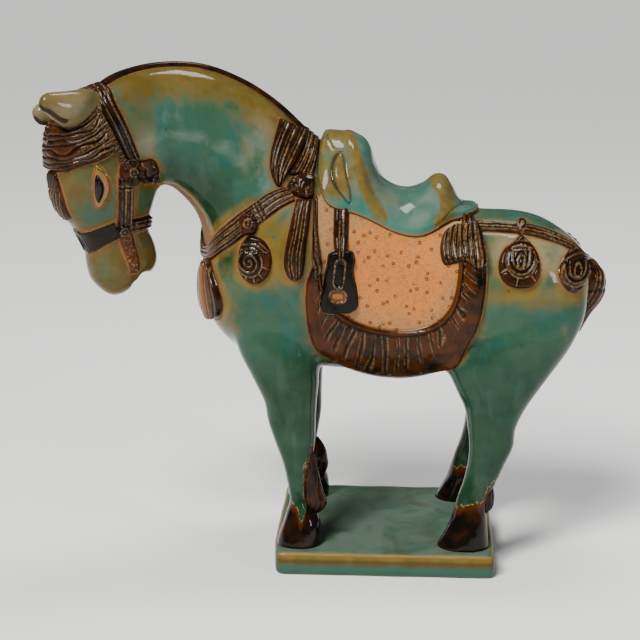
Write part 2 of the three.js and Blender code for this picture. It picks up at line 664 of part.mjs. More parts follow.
// Draws the ends of short edges together, wherever the skin stays closed and no face turns over
function withoutShortEdges(points, faces, shortest) {
  const around = points.map(() => new Set());
  faces.forEach((face, i) => face.forEach((vertex) => around[vertex].add(i)));
  const neighbours = (vertex) => {
    const corners = [...around[vertex]].flatMap((i) => faces[i]);
    return new Set(corners.filter((v) => v !== vertex));
  };
  const staysOpen = (face, ends, middle) => {
    const before = normalOf(...face.map((v) => points[v]));
    const after = normalOf(...face.map((v) => (ends.includes(v) ? middle : points[v])));
    return after.length() > 2 * SMALLEST_FACE && after.angleTo(before) < LARGEST_TILT;
  };
  const collapse = (keep, drop) => {
    const shared = [...around[keep]].filter((i) => around[drop].has(i));
    const near = neighbours(drop);
    if (shared.length !== 2 || [...neighbours(keep)].filter((v) => near.has(v)).length !== 2) return false;
    const moved = [...around[keep], ...around[drop]].filter((i) => !shared.includes(i)).map((i) => faces[i]);
    const middle = points[keep].clone().lerp(points[drop], 0.5);
    if (!moved.every((face) => staysOpen(face, [keep, drop], middle))) return false;
    points[keep].copy(middle);
    for (const i of shared) {
      faces[i].forEach((vertex) => around[vertex].delete(i));
      faces[i] = null;
    }
    for (const i of around[drop]) {
      faces[i] = faces[i].map((vertex) => (vertex === drop ? keep : vertex));
      around[keep].add(i);
    }
    around[drop].clear();
    return true;
  };
  const isShort = (a, b) => points[a].distanceTo(points[b]) < shortest;
  let changed = true;
  while (changed) {
    changed = false;
    for (let i = 0; i < faces.length; i += 1) {
      for (let k = 0; k < 3 && faces[i]; k += 1) {
        const [a, b] = [faces[i][k], faces[i][(k + 1) % 3]];
        if (isShort(a, b) && collapse(a, b)) changed = true;
      }
    }
  }
  return faces.filter(Boolean);
}

// The outer skin only: pockets sealed in by the joins are filled
const withoutPockets = (form) => form.decompose().reduce((a, b) => (b.volume() > a.volume() ? b : a));

function turnedGeometry(form) {
  const { vertProperties, triVerts } = withoutPockets(form).getMesh();
  const joined = new THREE.BufferGeometry();
  joined.setAttribute('position', new THREE.BufferAttribute(vertProperties, 3));
  joined.setIndex([...triVerts]);
  const { attributes: { position }, index } = mergeVertices(joined, 1e-5);
  const pointAt = (i) => new THREE.Vector3().fromBufferAttribute(position, i);
  const points = Array.from({ length: position.count }, (_, i) => pointAt(i));
  const faces = Array.from({ length: index.count / 3 }, (_, i) => [0, 1, 2].map((k) => index.getX(3 * i + k)))
    .filter((face) => new Set(face).size === 3);
  const kept = withoutShortEdges(points, faces, SHORTEST_EDGE);
  const turnedPoints = points.map(({ x, y, z }) => new THREE.Vector3(...turned(x, y, z)));
  const geometry = geometryOf(turnedPoints, kept.flat());
  geometry.computeVertexNormals();
  return geometry;
}

const bareHorse = union([
  torso(), neck(), head(),
  ...bothSides(leg(FORELEG)), ...bothSides(leg(HIND_LEG)),
]);
const onBody = sideOf(bareHorse);
const harness = [
  ...STRAPS.flatMap((each) => bothSides(strap(onBody, each))),
  ...BOSSES.flatMap(({ x, z, radius }) => bothSides(cushion(
    onBody,
    oval({ x, z, halfLength: radius, halfHeight: radius }),
    PENDANT_RELIEF,
  ))),
  ...PENDANTS.flatMap((each) => bothSides(cushion(onBody, oval(each), PENDANT_RELIEF))),
  pad(CHEST_PENDANT), pad(NOSE_STRAP), pad(FRONTLET),
];
const hair = [
  mane(), tail(), forelock(),
  ...LOCKS.flatMap((outline) => bothSides(
    cushion(onBody, smoothOutline(outline, OUTLINE_POINTS), HAIR_RELIEF),
  )),
  ...bothSides(tuft(FORE_TUFT)), ...bothSides(tuft(HIND_TUFT)),
];
const features = [...EARS.map(ear), ...bothSides(cushion(onBody, almond(EYE), EYE_RELIEF))];

const saddled = union([bareHorse, saddleCloth(), saddle()]);
const onSaddle = sideOf(saddled);
const overSaddle = [
  ...FLAPS.flatMap((outline) => bothSides(
    cushion(onSaddle, smoothOutline(outline, OUTLINE_POINTS), HAIR_RELIEF),
  )),
  ...SADDLE_ROLLS.flatMap((outline) => bothSides(
    cushion(onSaddle, smoothOutline(outline, OUTLINE_POINTS), ROLL_RELIEF),
  )),
  ...bothSides(strap(onSaddle, LEATHER)),
  ...stirrups(onSaddle),
];

const glaze = new THREE.MeshStandardMaterial({ color: 0x4f8478, roughness: 0.18, metalness: 0 });
const whole = union([saddled, ...overSaddle, ...harness, ...hair, ...features, plinth()]);
const horse = new THREE.Mesh(turnedGeometry(whole), glaze);
horse.name = 'horse';

const model = new THREE.Group();
model.add(horse);
export default model;
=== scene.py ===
import math

import bmesh
import bpy
import numpy as np
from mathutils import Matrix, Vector, noise
from mathutils.bvhtree import BVHTree
from mathutils.kdtree import KDTree


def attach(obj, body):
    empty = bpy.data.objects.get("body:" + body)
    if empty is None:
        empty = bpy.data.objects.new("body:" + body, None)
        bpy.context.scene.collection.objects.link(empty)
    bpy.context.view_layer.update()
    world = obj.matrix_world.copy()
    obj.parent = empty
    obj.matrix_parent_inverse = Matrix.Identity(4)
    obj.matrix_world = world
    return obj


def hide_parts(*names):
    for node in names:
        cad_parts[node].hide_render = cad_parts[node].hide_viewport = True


bl_info = {
    "name": "Glazed tomb horse",
    "version": (1, 0, 0),
    "blender": (4, 5, 0),
    "location": "View3D > Sidebar > Horse",
    "description": "Builds a glazed pottery horse with its saddle and harness on a low plinth",
    "category": "Object",
}

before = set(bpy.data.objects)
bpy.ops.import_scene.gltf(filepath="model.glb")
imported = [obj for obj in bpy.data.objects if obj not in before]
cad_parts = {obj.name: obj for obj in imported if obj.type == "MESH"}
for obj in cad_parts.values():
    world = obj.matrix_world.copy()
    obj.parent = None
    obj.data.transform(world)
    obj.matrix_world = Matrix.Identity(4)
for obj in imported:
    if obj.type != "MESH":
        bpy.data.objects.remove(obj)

# The figure is modelled in millimetres with a straight neck, the head towards -X and its left side towards -Y.
# Places on it are hundredths of its height: x from the origin, z from the plinth's top.
HEIGHT = 280.0
PART = HEIGHT / 100
PLINTH_TOP = 14.0
# How far pieces are bedded in the body and hooves in the plinth, and the grid that pieces are laid with
BEDDING = 2.2
HOOF_SINK = 1.0
STEP = 0.5
# The grids that lofts are fused on
BODY_VOXEL, QUICK_VOXEL, HEAD_VOXEL, PLINTH_VOXEL = 1.5, 2.2, 2.0, 1.6
# How far from its path a strap may find the clay, and the saddle and cloth from the torso
STRAP_REACH, TORSO_REACH = 6.0, 9.0

# The forehand is turned at the end, along an arc that fades out above the forelegs
TURN_START = -12.5
TURN_PER_PART = math.radians(0.626)
TURN_FADES = (26.5, 48.5)

# Fullness of the torso's sections, and its size round for work that goes over the back
TORSO_FULLNESS = 2.15
GIRTH = 16.4 * PART
# x, top, bottom, half width
TORSO = [
    (-39.0, 57.5, 48.6, 5.0), (-37.2, 63.5, 45.0, 9.6), (-33.9, 70.5, 40.9, 13.2), (-28.5, 76.4, 37.4, 15.4),
    (-22.0, 80.7, 35.4, 16.4), (-15.0, 81.0, 35.0, 16.4), (-8.0, 77.6, 34.6, 16.2), (-1.0, 74.0, 33.7, 16.2),
    (6.0, 71.1, 33.7, 16.4), (13.0, 69.5, 34.8, 16.6), (19.6, 68.9, 37.1, 16.6), (26.8, 68.6, 39.3, 16.6),
    (32.1, 67.3, 40.7, 15.9), (36.8, 64.6, 42.5, 13.9), (40.0, 61.8, 45.4, 11.1), (42.0, 58.9, 48.9, 7.1),
]
# crest x and z, throat x and z, half width
NECK = [
    (-10.7, 79.5, -39.0, 52.1, 14.3), (-16.4, 84.0, -38.5, 59.6, 12.9), (-23.2, 90.4, -39.0, 64.9, 11.1),
    (-30.4, 95.2, -40.3, 68.5, 9.6), (-38.9, 98.4, -42.9, 71.9, 8.6), (-48.2, 98.8, -45.8, 74.3, 7.9),
    (-56.4, 97.0, -49.3, 75.0, 7.6), (-61.4, 94.0, -53.6, 75.4, 6.8),
]
# face x and z, jaw x and z, half width
HEAD = [
    (-63.6, 94.6, -52.1, 96.0, 4.3), (-67.1, 91.4, -50.0, 90.7, 6.4), (-70.0, 87.1, -48.6, 84.3, 7.5),
    (-70.8, 82.1, -47.9, 79.3, 8.0), (-70.8, 76.4, -48.4, 75.0, 8.2), (-69.7, 71.4, -49.9, 70.4, 7.3),
    (-66.4, 66.8, -51.0, 66.4, 5.9), (-64.2, 62.5, -49.6, 62.9, 5.2), (-63.7, 58.6, -49.0, 59.3, 5.4),
    (-62.9, 55.7, -50.4, 56.8, 4.8), (-60.7, 53.2, -54.0, 54.4, 3.6), (-58.9, 52.2, -56.4, 52.7, 1.8),
]
# Places that press the muzzle away, how deep and how far round them in millimetres
MOUTH = [((-52.6, 54.6), 5.0, 6.0), ((-54.6, 56.4), 1.6, 3.4)]
# z, front x, back x, half width, distance from the middle plane
FORELEG = [
    (48.6, -35.2, -16.8, 5.2, 8.6), (40.4, -32.2, -14.6, 6.3, 9.6), (34.6, -28.4, -13.8, 5.6, 10.7),
    (30.0, -25.5, -14.3, 4.6, 11.5), (25.7, -24.5, -14.5, 4.1, 12.1), (21.4, -23.0, -14.6, 3.8, 12.7),
    (17.1, -21.4, -15.2, 3.2, 13.2), (12.9, -20.4, -15.9, 2.7, 13.7), (9.3, -19.8, -16.1, 2.8, 14.2),
    (6.8, -20.5, -14.3, 3.3, 14.4), (5.0, -21.0, -13.4, 3.9, 14.6), (2.6, -21.9, -13.0, 4.3, 14.8),
    (0.0, -22.6, -13.0, 4.6, 15.0),
]
HIND_LEG = [
    (54.6, 22.6, 41.0, 4.2, 8.6), (49.0, 18.6, 41.3, 6.7, 8.9), (43.6, 15.2, 39.1, 7.5, 9.2),
    (38.6, 12.3, 36.0, 7.3, 9.7), (33.6, 14.2, 32.2, 6.4, 10.6), (29.3, 16.4, 29.2, 5.2, 11.3),
    (25.0, 17.2, 27.2, 4.1, 12.0), (21.4, 17.6, 26.8, 3.8, 12.6), (18.2, 17.4, 25.4, 3.4, 13.1),
    (14.3, 16.6, 23.6, 2.9, 13.7), (10.7, 15.4, 22.1, 2.8, 14.1), (7.9, 14.6, 21.4, 3.3, 14.3),
    (5.4, 13.9, 21.6, 3.9, 14.5), (2.6, 12.6, 21.8, 4.3, 14.8), (0.0, 11.1, 22.1, 4.6, 15.0),
]
# side of the horse, inside x, distance from the middle plane, then z, back x, half width
TUFTS = [
    (-1, -17.2, 14.0, [
        (20.6, -15.1, 0.5), (18.5, -14.6, 1.0), (15.6, -13.9, 1.4), (12.7, -13.3, 1.7), (10.4, -12.6, 1.9),
        (8.8, -12.1, 2.0), (7.6, -12.4, 1.7), (6.6, -13.3, 1.1), (5.8, -14.5, 0.6),
    ]),
    (1, -17.2, 14.0, [
        (13.9, -15.5, 0.6), (12.4, -14.4, 1.2), (10.9, -13.7, 1.7), (9.3, -13.4, 2.0), (7.8, -13.2, 2.0),
        (6.2, -13.5, 1.7), (4.8, -14.4, 0.8),
    ]),
    *((side, 20.0, 14.2, [
        (15.2, 22.0, 0.6), (13.4, 22.5, 1.2), (11.6, 22.9, 1.6), (10.0, 23.0, 1.8), (8.6, 22.8, 1.6),
        (7.6, 22.2, 1.2), (6.8, 21.3, 0.7),
    ]) for side in (-1, 1)),
]
# z, front x, back x, half width
TAIL = [
    (59.2, 40.4, 42.2, 1.0), (58.2, 39.6, 43.8, 2.2), (56.6, 39.4, 45.2, 3.1), (54.6, 39.4, 45.9, 3.5),
    (52.2, 39.6, 46.0, 3.4), (49.8, 39.8, 45.1, 2.9), (47.4, 39.4, 43.4, 2.2), (45.0, 38.8, 42.0, 1.5),
    (43.0, 38.2, 41.0, 0.7),
]
# x, top, lower edge
SADDLE = [
    (-14.6, 83.2, 78.6), (-13.8, 84.5, 74.6), (-12.2, 85.1, 71.8), (-9.6, 85.2, 70.4), (-7.0, 84.3, 69.7),
    (-5.2, 82.2, 69.0), (-3.4, 78.6, 68.2), (-1.4, 75.6, 67.2), (1.2, 73.9, 66.0), (4.0, 73.5, 65.2),
    (6.6, 74.5, 65.0), (9.0, 76.0, 65.6), (11.2, 76.0, 66.6), (13.0, 73.9, 67.3), (15.2, 70.9, 67.8),
    (18.9, 69.4, 68.9),
]
# An ear: x, top, bottom, half thickness, distance from the middle plane
LEFT_EAR = [
    (-62.0, 95.0, 92.6, 0.9, -4.0), (-63.2, 95.7, 91.8, 1.6, -4.6), (-64.6, 95.9, 90.4, 2.1, -5.2),
    (-66.2, 95.8, 89.2, 2.3, -5.7), (-68.2, 95.5, 88.1, 2.4, -6.0), (-69.8, 95.4, 87.8, 2.3, -6.2),
    (-71.4, 95.3, 88.4, 2.1, -6.3), (-73.0, 95.3, 89.7, 1.9, -6.4), (-74.4, 95.2, 90.9, 1.6, -6.4),
    (-75.5, 94.8, 91.4, 1.2, -6.4), (-76.2, 93.8, 92.3, 0.4, -6.4),
]
RIGHT_EAR = [
    (-60.5, 93.8, 90.6, 1.0, -4.0), (-63.0, 94.2, 90.2, 1.8, -4.8), (-66.0, 93.7, 88.6, 2.1, -5.4),
    (-68.6, 92.7, 87.2, 2.1, -5.9), (-70.2, 92.0, 87.1, 1.9, -6.1), (-71.2, 91.3, 87.8, 1.4, -6.2),
    (-71.8, 90.5, 88.9, 0.6, -6.2),
]
# The angle of the fold down an ear's outside
EAR_FOLD = -2.62
# Lines where lofts run into each other, and how far from them the clay is smoothed over
JOINS = [
    ([(-33, 48), (-24, 50), (-16, 46)], 7), ([(18, 50), (28, 51), (40, 50)], 8),
    ([(-12, 79), (-22, 72), (-32, 62), (-38, 56)], 8), ([(-61, 94), (-56, 84), (-53, 76)], 5),
    ([(-28, 38), (-16, 37)], 5), ([(14, 38), (32, 40)], 5),
]
# Creases in the skin: line, width and depth in millimetres
FOLDS = [
    ([(20.6, 58), (19.8, 51), (17.0, 44)], 5.0, 1.2), ([(-52.8, 84), (-52.2, 79), (-51.9, 75)], 4.0, 1.0),
]
# The leaf on the saddle's front
SADDLE_LEAF = [
    (-9.4, 82.0), (-10.7, 80.8), (-11.3, 78.4), (-10.6, 76.0), (-9.0, 73.8), (-7.5, 72.2), (-7.4, 74.3), (-8.2, 77.2),
    (-8.8, 80.2),
]
# line, width and height in millimetres
SADDLE_RIDGES = [
    ([(-8.2, 84.6), (-6.6, 81.3), (-5.4, 77.6), (-4.2, 73.8), (-2.4, 71.0), (-1.0, 69.2)], 3.2, 1.1),
    ([(9.4, 75.9), (11.4, 74.2), (12.4, 71.4), (12.0, 69.3), (10.6, 67.8)], 4.6, 1.0),
]
SADDLE_CUTS = [
    [(-12.6, 84.8), (-12.0, 83.6), (-11.2, 82.4)], [(16.6, 70.6), (14.4, 70.6), (12.9, 69.8), (11.4, 68.3)],
]
# The cloth's lines from its middle outwards, and the pleats in its border
CLOTH_CENTRE = [(-12.5, 75.0), (-6.0, 71.6), (1.0, 68.6), (8.0, 67.8), (15.0, 67.4)]
CLOTH_INNER = [
    (-14.2, 72.5), (-14.0, 66.0), (-13.5, 60.0), (-12.4, 55.0), (-10.4, 51.6), (-7.6, 49.3), (-4.2, 47.9),
    (-0.8, 47.1), (3.9, 46.9), (7.8, 47.6), (10.8, 49.2), (12.8, 51.6), (13.9, 54.6), (14.4, 58.0), (14.7, 63.0),
    (15.2, 68.0),
]
CLOTH_OUTLINE = [
    (-15.0, 74.0), (-15.0, 70.0), (-15.1, 66.0), (-15.2, 62.4), (-16.0, 59.4), (-17.2, 56.4), (-17.4, 51.5),
    (-16.8, 46.4), (-15.2, 42.4), (-12.4, 39.6), (-8.6, 37.4), (-4.4, 35.8), (0.8, 34.9), (6.1, 35.4), (11.3, 37.3),
    (15.3, 40.9), (18.0, 45.1), (19.4, 49.1), (20.1, 53.3), (20.4, 58.3), (19.8, 63.0), (18.0, 68.2),
]
PLEATS = 31
LEATHER_EDGES = [
    [(-10.9, 71.4), (-10.9, 66.5), (-10.7, 63.1), (-10.1, 61.4), (-9.5, 59.6)],
    [(-7.5, 71.4), (-7.5, 66.5), (-7.6, 63.1), (-8.2, 61.4), (-8.9, 59.6)],
]
STIRRUP_OUTLINE = [
    (-10.6, 63.2), (-8.2, 63.4), (-6.6, 62.9), (-6.0, 61.0), (-6.3, 58.9), (-5.9, 56.6), (-5.4, 53.6),
    (-5.5, 51.3), (-7.0, 50.0), (-9.5, 49.8), (-12.2, 50.0), (-13.7, 51.3), (-13.6, 54.0), (-12.9, 57.0),
    (-12.3, 60.2), (-11.9, 62.4),
]
STIRRUP_WINDOW = [
    (-11.4, 53.9), (-11.0, 54.8), (-9.7, 55.0), (-8.5, 54.8), (-8.1, 53.9), (-8.5, 53.0), (-9.7, 52.8), (-11.0, 53.0),
]
STIRRUP_SLOT = [(-9.3, 60.2), (-9.6, 56.6)]
# left edge, right edge, number of ribs and the hem's drop along it from left to right
REAR_FLAP = (
    [(13.2, 67.4), (11.4, 66.2), (10.6, 63.6), (10.9, 61.4), (11.7, 60.2)],
    [(18.4, 68.2), (19.4, 65.8), (20.2, 62.8), (20.4, 60.6), (20.1, 58.9)], 8,
    [-0.5, -0.2, 0.1, 0.9, 0.3, -0.1, -0.2, 0.1, 0.4],
)
# Straps: places seen from the side, and x, y and z of places that they run on to over the middle plane
POLL_STRAP = [(-56.3, 80.6), (-57.5, 83.0), (-59.4, 87.2), (-61.3, 91.6), (-61.4, 94.8)], [(-60.2, 2.0 / PART, 95.6)]
CHEEK_STRAP = [(-57.6, 78.2), (-57.7, 73.2), (-57.5, 67.0)]
NOSEBAND = [(-59.4, 66.9), (-61.2, 66.2), (-63.2, 65.2), (-64.8, 64.0)], [(-66.0, -1.6, 63.6), (-66.2, 1.6, 63.5)]
CHIN_STRAP = [(-57.0, 67.4), (-54.0, 67.6), (-51.8, 67.7)], [(-50.2, 1.0 / PART, 67.0)]
BIT_STRAP = [(-57.4, 65.8), (-56.2, 62.2), (-55.3, 58.9), (-55.5, 57.2)]
KNOT_BOW = [
    (-55.0, 80.6), (-52.9, 81.2), (-51.4, 81.3), (-50.2, 80.4), (-49.4, 78.2), (-49.8, 76.2), (-51.8, 75.7),
    (-54.6, 76.6),
]
# outline and relief in millimetres
BRIDLE_BOSSES = [
    ([(-59.4, 79.0), (-57.9, 81.6), (-55.0, 81.6), (-53.4, 78.8), (-55.0, 75.8), (-57.9, 75.8)], 3.6),
    ([(-59.9, 66.9), (-59.0, 68.5), (-57.1, 68.5), (-56.1, 66.8), (-57.1, 65.1), (-59.0, 65.2)], 3.2),
]
BREAST_STRAP = (
    [(-20.2, 73.9), (-24.2, 72.6), (-28.0, 70.4), (-32.0, 67.8), (-35.5, 64.8)],
    [(-38.0, -5.2, 61.2), (-39.0, -1.5, 60.2), (-39.0, 1.5, 60.1)],
)
BREAST_BOSS = [(-33.0, 68.0), (-32.0, 70.3), (-29.2, 70.3), (-28.0, 68.1), (-29.0, 65.8), (-31.8, 65.7)]
# outline, and the coil's centre from the outline's centre in millimetres
BREAST_PENDANT = [
    (-30.6, 65.9), (-28.0, 65.5), (-25.9, 63.8), (-25.1, 61.0), (-25.8, 58.0), (-27.9, 56.1), (-30.3, 55.8),
    (-32.4, 56.9), (-33.4, 59.2), (-33.2, 62.0), (-32.2, 64.4),
], (-3.0, -1.2)
# The upright line that the chest curves round: its x, the radius that distances are taken on and the reach from it
CHEST_ROUND = -30.0, 24.0, 44.0
# the two edges, from how far they lie round the chest and their height
CHEST_PENDANT = [
    [(4.6, 59.4), (6.6, 57.0), (8.2, 53.8), (8.8, 50.4), (7.6, 47.6), (5.6, 46.4)],
    [(2.0, 59.4), (-0.2, 57.6), (-2.2, 53.8), (-2.2, 50.4), (-0.4, 47.4), (2.4, 46.4)],
]
CRUPPER_STRAP = [(17.6, 66.9), (23.0, 66.8), (27.4, 66.5), (31.4, 65.6), (35.0, 64.2), (38.2, 62.3), (40.6, 60.0)]
CRUPPER_END = [(42.6, 2.0 / PART, 58.4)]
CRUPPER_PENDANTS = [
    ([(27.1, 65.7), (25.3, 64.5), (23.4, 63.1), (22.4, 60.9), (22.6, 58.2), (24.1, 56.2), (26.7, 55.4), (29.3, 55.8),
      (30.9, 57.8), (31.1, 60.8), (30.3, 63.0), (28.7, 64.8)], (0.5, 1.0)),
    ([(38.2, 62.7), (36.0, 61.6), (34.6, 59.4), (34.8, 57.1), (36.3, 54.7), (38.5, 53.9), (40.3, 55.2), (41.1, 57.8),
      (40.7, 60.3)], (0.0, 0.0)),
]
CRUPPER_BOSS = [(25.5, 66.8), (26.6, 67.9), (27.6, 68.2), (28.6, 67.6), (29.2, 66.4), (27.6, 65.3), (26.2, 65.6)]
# How much lower the crupper runs on the right side
CRUPPER_DROP = 2.4
MANE_HALF_WIDTH = 1.15
MANE_RISE = 0.85
# left edge, right edge, number of ribs and how far they bend
LOCKS = [
    ([(-22.9, 88.7), (-24.3, 85.0), (-25.4, 81.4), (-25.5, 78.6), (-24.8, 76.4), (-23.9, 75.0)],
     [(-16.2, 85.0), (-17.3, 82.4), (-19.0, 79.6), (-21.2, 77.2), (-23.0, 74.9)], 4, 0.16),
    ([(-17.6, 85.8), (-18.5, 82.4), (-20.1, 79.8), (-22.0, 77.2)],
     [(-14.6, 84.9), (-14.2, 82.6), (-14.6, 79.9), (-15.2, 76.6)], 4, -0.1),
    ([(-19.4, 73.2), (-20.9, 68.4), (-22.3, 63.2), (-22.6, 59.6), (-21.5, 57.2), (-20.0, 56.5)],
     [(-15.4, 73.0), (-16.0, 68.4), (-16.8, 63.3), (-17.2, 59.6), (-17.9, 57.3), (-19.4, 56.5)], 3, 0.0),
    ([(-15.7, 73.2), (-15.6, 68.0), (-15.8, 62.3), (-15.4, 59.4), (-14.5, 57.0)],
     [(-14.3, 73.2), (-14.0, 68.0), (-13.2, 62.5), (-12.8, 59.4), (-13.9, 57.0)], 2, 0.0),
]
WITHERS_KNOT = [
    (-21.7, 75.4), (-19.8, 77.5), (-15.4, 77.8), (-14.9, 75.0), (-15.5, 72.6), (-18.4, 72.7), (-20.8, 73.9),
]
# the same for the brow as for the chest
BROW_ROUND = -60.0, 24.0, 62.0
# upper and lower edge on the side, from the strap forward, and their heights in the middle of the brow
FORELOCK_EDGES = [
    [(-62.6, 92.6), (-63.4, 91.6), (-64.6, 90.4), (-66.6, 89.6), (-68.8, 89.2)],
    [(-60.0, 82.6), (-61.6, 81.8), (-64.4, 80.8), (-67.5, 79.9), (-69.5, 78.8)],
]
FORELOCK_FRONT = (89.6, 78.4)
# y and z of the bound lock below the forelock, seen from the front
FRONTLET = [
    (-2.5, 78.6), (-3.3, 75.6), (-3.5, 72.0), (-2.8, 69.4), (-0.4, 68.4), (1.9, 69.6), (2.6, 72.4), (2.5, 75.8),
    (1.9, 78.6), (-0.3, 79.2),
]
EYE_LID = [
    (-64.1, 80.7), (-62.6, 79.5), (-61.5, 77.9), (-61.1, 76.0), (-61.5, 73.9), (-62.6, 72.4), (-63.8, 71.7),
    (-64.7, 72.9), (-65.1, 75.2), (-65.0, 77.4), (-64.7, 79.2),
]
EYE_PUPIL = [
    (-64.2, 78.7), (-63.3, 77.7), (-62.7, 76.0), (-63.1, 74.3), (-63.9, 73.0), (-64.6, 74.2), (-64.9, 76.0),
    (-64.8, 77.6),
]
EYE_ARC = [(-64.2, 79.9), (-62.6, 78.9), (-61.9, 77.6), (-61.6, 76.0), (-62.0, 74.2), (-62.8, 73.2)]
# front, back, and the brown glaze's upper edge on the left and on the right leg
HOOVES = [
    (-24.0, -12.0, [(-23, 10.2), (-20.5, 9.8), (-19.0, 9.2), (-18.2, 8.6), (-17.7, 6.8), (-17.3, 5.0), (-16.9, 5.6),
                    (-16.6, 7.2), (-16.2, 8.6), (-15.9, 15.0), (-15.3, 21.0), (-13, 22.0)],
     [(-23, 8.0), (-18, 9.0), (-14, 11.0)]),
    (10.0, 24.0, [(11, 8.4), (14, 9.0), (17, 9.4), (20, 9.8), (21.8, 10.6), (23, 12.5)],
     [(11, 6.5), (14, 7.6), (17, 8.6), (22, 9.0)]),
]

# Glaze on the body: how much, and left, right, low and high of a box seen from the side
WARM = [
    (1.0, (19.0, 43.0, 51.5, 56.5)), (0.9, (20.0, 44.0, 56.0, 67.0)), (0.8, (-34.0, -18.0, 55.0, 70.0)),
    (0.55, (-40.0, -32.0, 42.0, 60.0)), (0.5, (33.0, 40.0, 36.0, 48.0)), (0.4, (-33.0, -25.0, 75.0, 87.0)),
    (0.95, (-72.0, -64.0, 62.0, 80.0)), (1.0, (-79.0, -60.0, 87.0, 98.0)),
]
COOL = [(0.9, (-67.5, -60.5, 68.5, 73.0)), (0.35, (-55.0, -50.0, 68.0, 76.0)), (0.45, (-65.0, -59.5, 54.0, 62.0))]
# Where the glaze is milky, with painted sheen on the neck and the ear
PALE_AND_SHEEN = [
    (0.9, (21.0, 40.0, 58.0, 66.0)), (0.95, (31.8, 34.2, 55.0, 64.0)), (0.7, (20.6, 22.6, 57.0, 65.0)),
    (0.65, (-32.0, -24.0, 76.0, 88.0)), (0.8, (-74.0, -63.0, 89.0, 95.0)), (0.5, (-50.0, -42.0, 80.0, 92.0)),
    (0.4, (-30.0, -14.0, 40.0, 52.0)), (0.4, (18.0, 40.0, 40.0, 48.0)),
]
# Where the orange of the saddle cloth is strongest, in metres
PANEL_MIDDLE = (0.006, -0.045, 0.178)

# Lamps: name, place, aim and size in metres, power and tint
LAMPS = [
    ("key", (-0.75, -1.05, 1.25), (0.0, 0.0, 0.15), (0.30, 0.22), 18.0, (1.0, 0.97, 0.92)),
    ("fill", (1.15, -0.85, 0.55), (0.0, 0.0, 0.14), (0.16, 0.42), 4.8, (0.93, 0.97, 1.0)),
    ("top", (0.1, 0.25, 1.35), (0.0, 0.0, 0.1), (0.45, 0.30), 8.5, (1.0, 0.99, 0.97)),
]
DAYLIGHT = {"energy": 3.2, "angle": math.radians(22), "color": (1.0, 0.985, 0.96)}
DAYLIGHT_TURN = (math.radians(38), 0, math.radians(-28))
SKY = {"Color": (0.92, 0.95, 1.0, 1), "Strength": 0.10}
CAMERA_PLACE = (0.012, -0.930, 0.366)
CAMERA_TURN = (math.radians(76.3), 0, math.radians(3.2))
LENS, SENSOR = 90, 36
# The floor's half width in metres, and the two whites of its paper
FLOOR = 40
PAPER = (0.93, 0.93, 0.93), (0.95, 0.95, 0.945)


# Numbers and curves

def ramp(value, low, high):
    """0 below low, 1 above high and smooth between"""
    t = np.clip((value - low) / (high - low), 0.0, 1.0)
    return t * t * (3 - 2 * t)


def bell(value, width):
    """1 at 0, fading over width to both sides"""
    return np.exp(-((value / width) ** 2))


def smooth_rows(rows, count):
    """Rows of numbers made smooth column by column, as count rows"""
    rows = np.asarray(rows, float)
    last = len(rows) - 1
    u = np.linspace(0, last, count)
    i = np.minimum(u.astype(int), last - 1)
    t = (u - i)[:, None]
    before, here = rows[np.maximum(i - 1, 0)], rows[i]
    ahead, after = rows[i + 1], rows[np.minimum(i + 2, last)]
    bend = 2 * before - 5 * here + 4 * ahead - after
    twist = 3 * here - before - 3 * ahead + after
    return here + 0.5 * t * (ahead - before + t * (bend + t * twist))


def at(points):
    """Places on the figure, as x and z in hundredths, in millimetres"""
    return np.asarray(points, float) * PART + np.array([0.0, PLINTH_TOP])


def curve(points, count, closed=False):
    """Evenly spaced points on a smooth curve through points"""
    points = np.asarray(points, float)
    if closed:
        points = np.vstack([points[-2:], points, points[:3]])
    dense = smooth_rows(points, 24 * (len(points) - 1) + 1)
    if closed:
        dense = dense[48:-48]
    length = np.concatenate([[0], np.cumsum(np.linalg.norm(np.diff(dense, axis=0), axis=1))])
    places = np.linspace(0, length[-1], count)
    return np.column_stack([np.interp(places, length, dense[:, k]) for k in range(dense.shape[1])])


def length_of(points):
    """How long a line of points is"""
    return np.linalg.norm(np.diff(np.asarray(points, float), axis=0), axis=1).sum()


def away(points, line):
    """Distance from points to a line of points, and the side it lies on"""
    points = np.asarray(points, float)
    best = np.full(points.shape[:-1], 1e9)
    hand = np.ones(points.shape[:-1])
    for a, b in zip(line[:-1], line[1:]):
        ab = b - a
        ap = points - a
        t = np.clip((ap @ ab) / max(ab @ ab, 1e-12), 0, 1)
        d = np.linalg.norm(ap - t[..., None] * ab, axis=-1)
        nearer = d < best
        best = np.where(nearer, d, best)
        hand = np.where(nearer, np.sign(ab[0] * ap[..., 1] - ab[1] * ap[..., 0]), hand)
    return best, hand


def waver(points, scale, seed=0.0):
    """Smooth noise from -1 to 1 at points, with features of about scale millimetres"""
    flat = np.zeros((points[..., 0].size, 3))
    flat[:, :points.shape[-1]] = points.reshape(-1, points.shape[-1]) / scale
    values = [noise.noise((x + seed, y - seed, z + 0.5 * seed)) for x, y, z in flat]
    return np.array(values).reshape(points.shape[:-1])


def turned(points):
    """The straight figure's points with the forehand turned to its left"""
    x, y, z = points.T
    low, high = (PLINTH_TOP + z_part * PART for z_part in TURN_FADES)
    bend = ramp(z, low, high) * TURN_PER_PART / PART
    along = TURN_START * PART - x
    angle = bend * along
    safe = np.where(bend > 1e-9, bend, 1.0)
    moves = (along > 0) & (bend > 1e-9)
    out = points.copy()
    out[:, 0] = np.where(moves, TURN_START * PART - np.sin(angle) / safe - y * np.sin(angle), x)
    out[:, 1] = np.where(moves, (np.cos(angle) - 1) / safe + y * np.cos(angle), y)
    return out


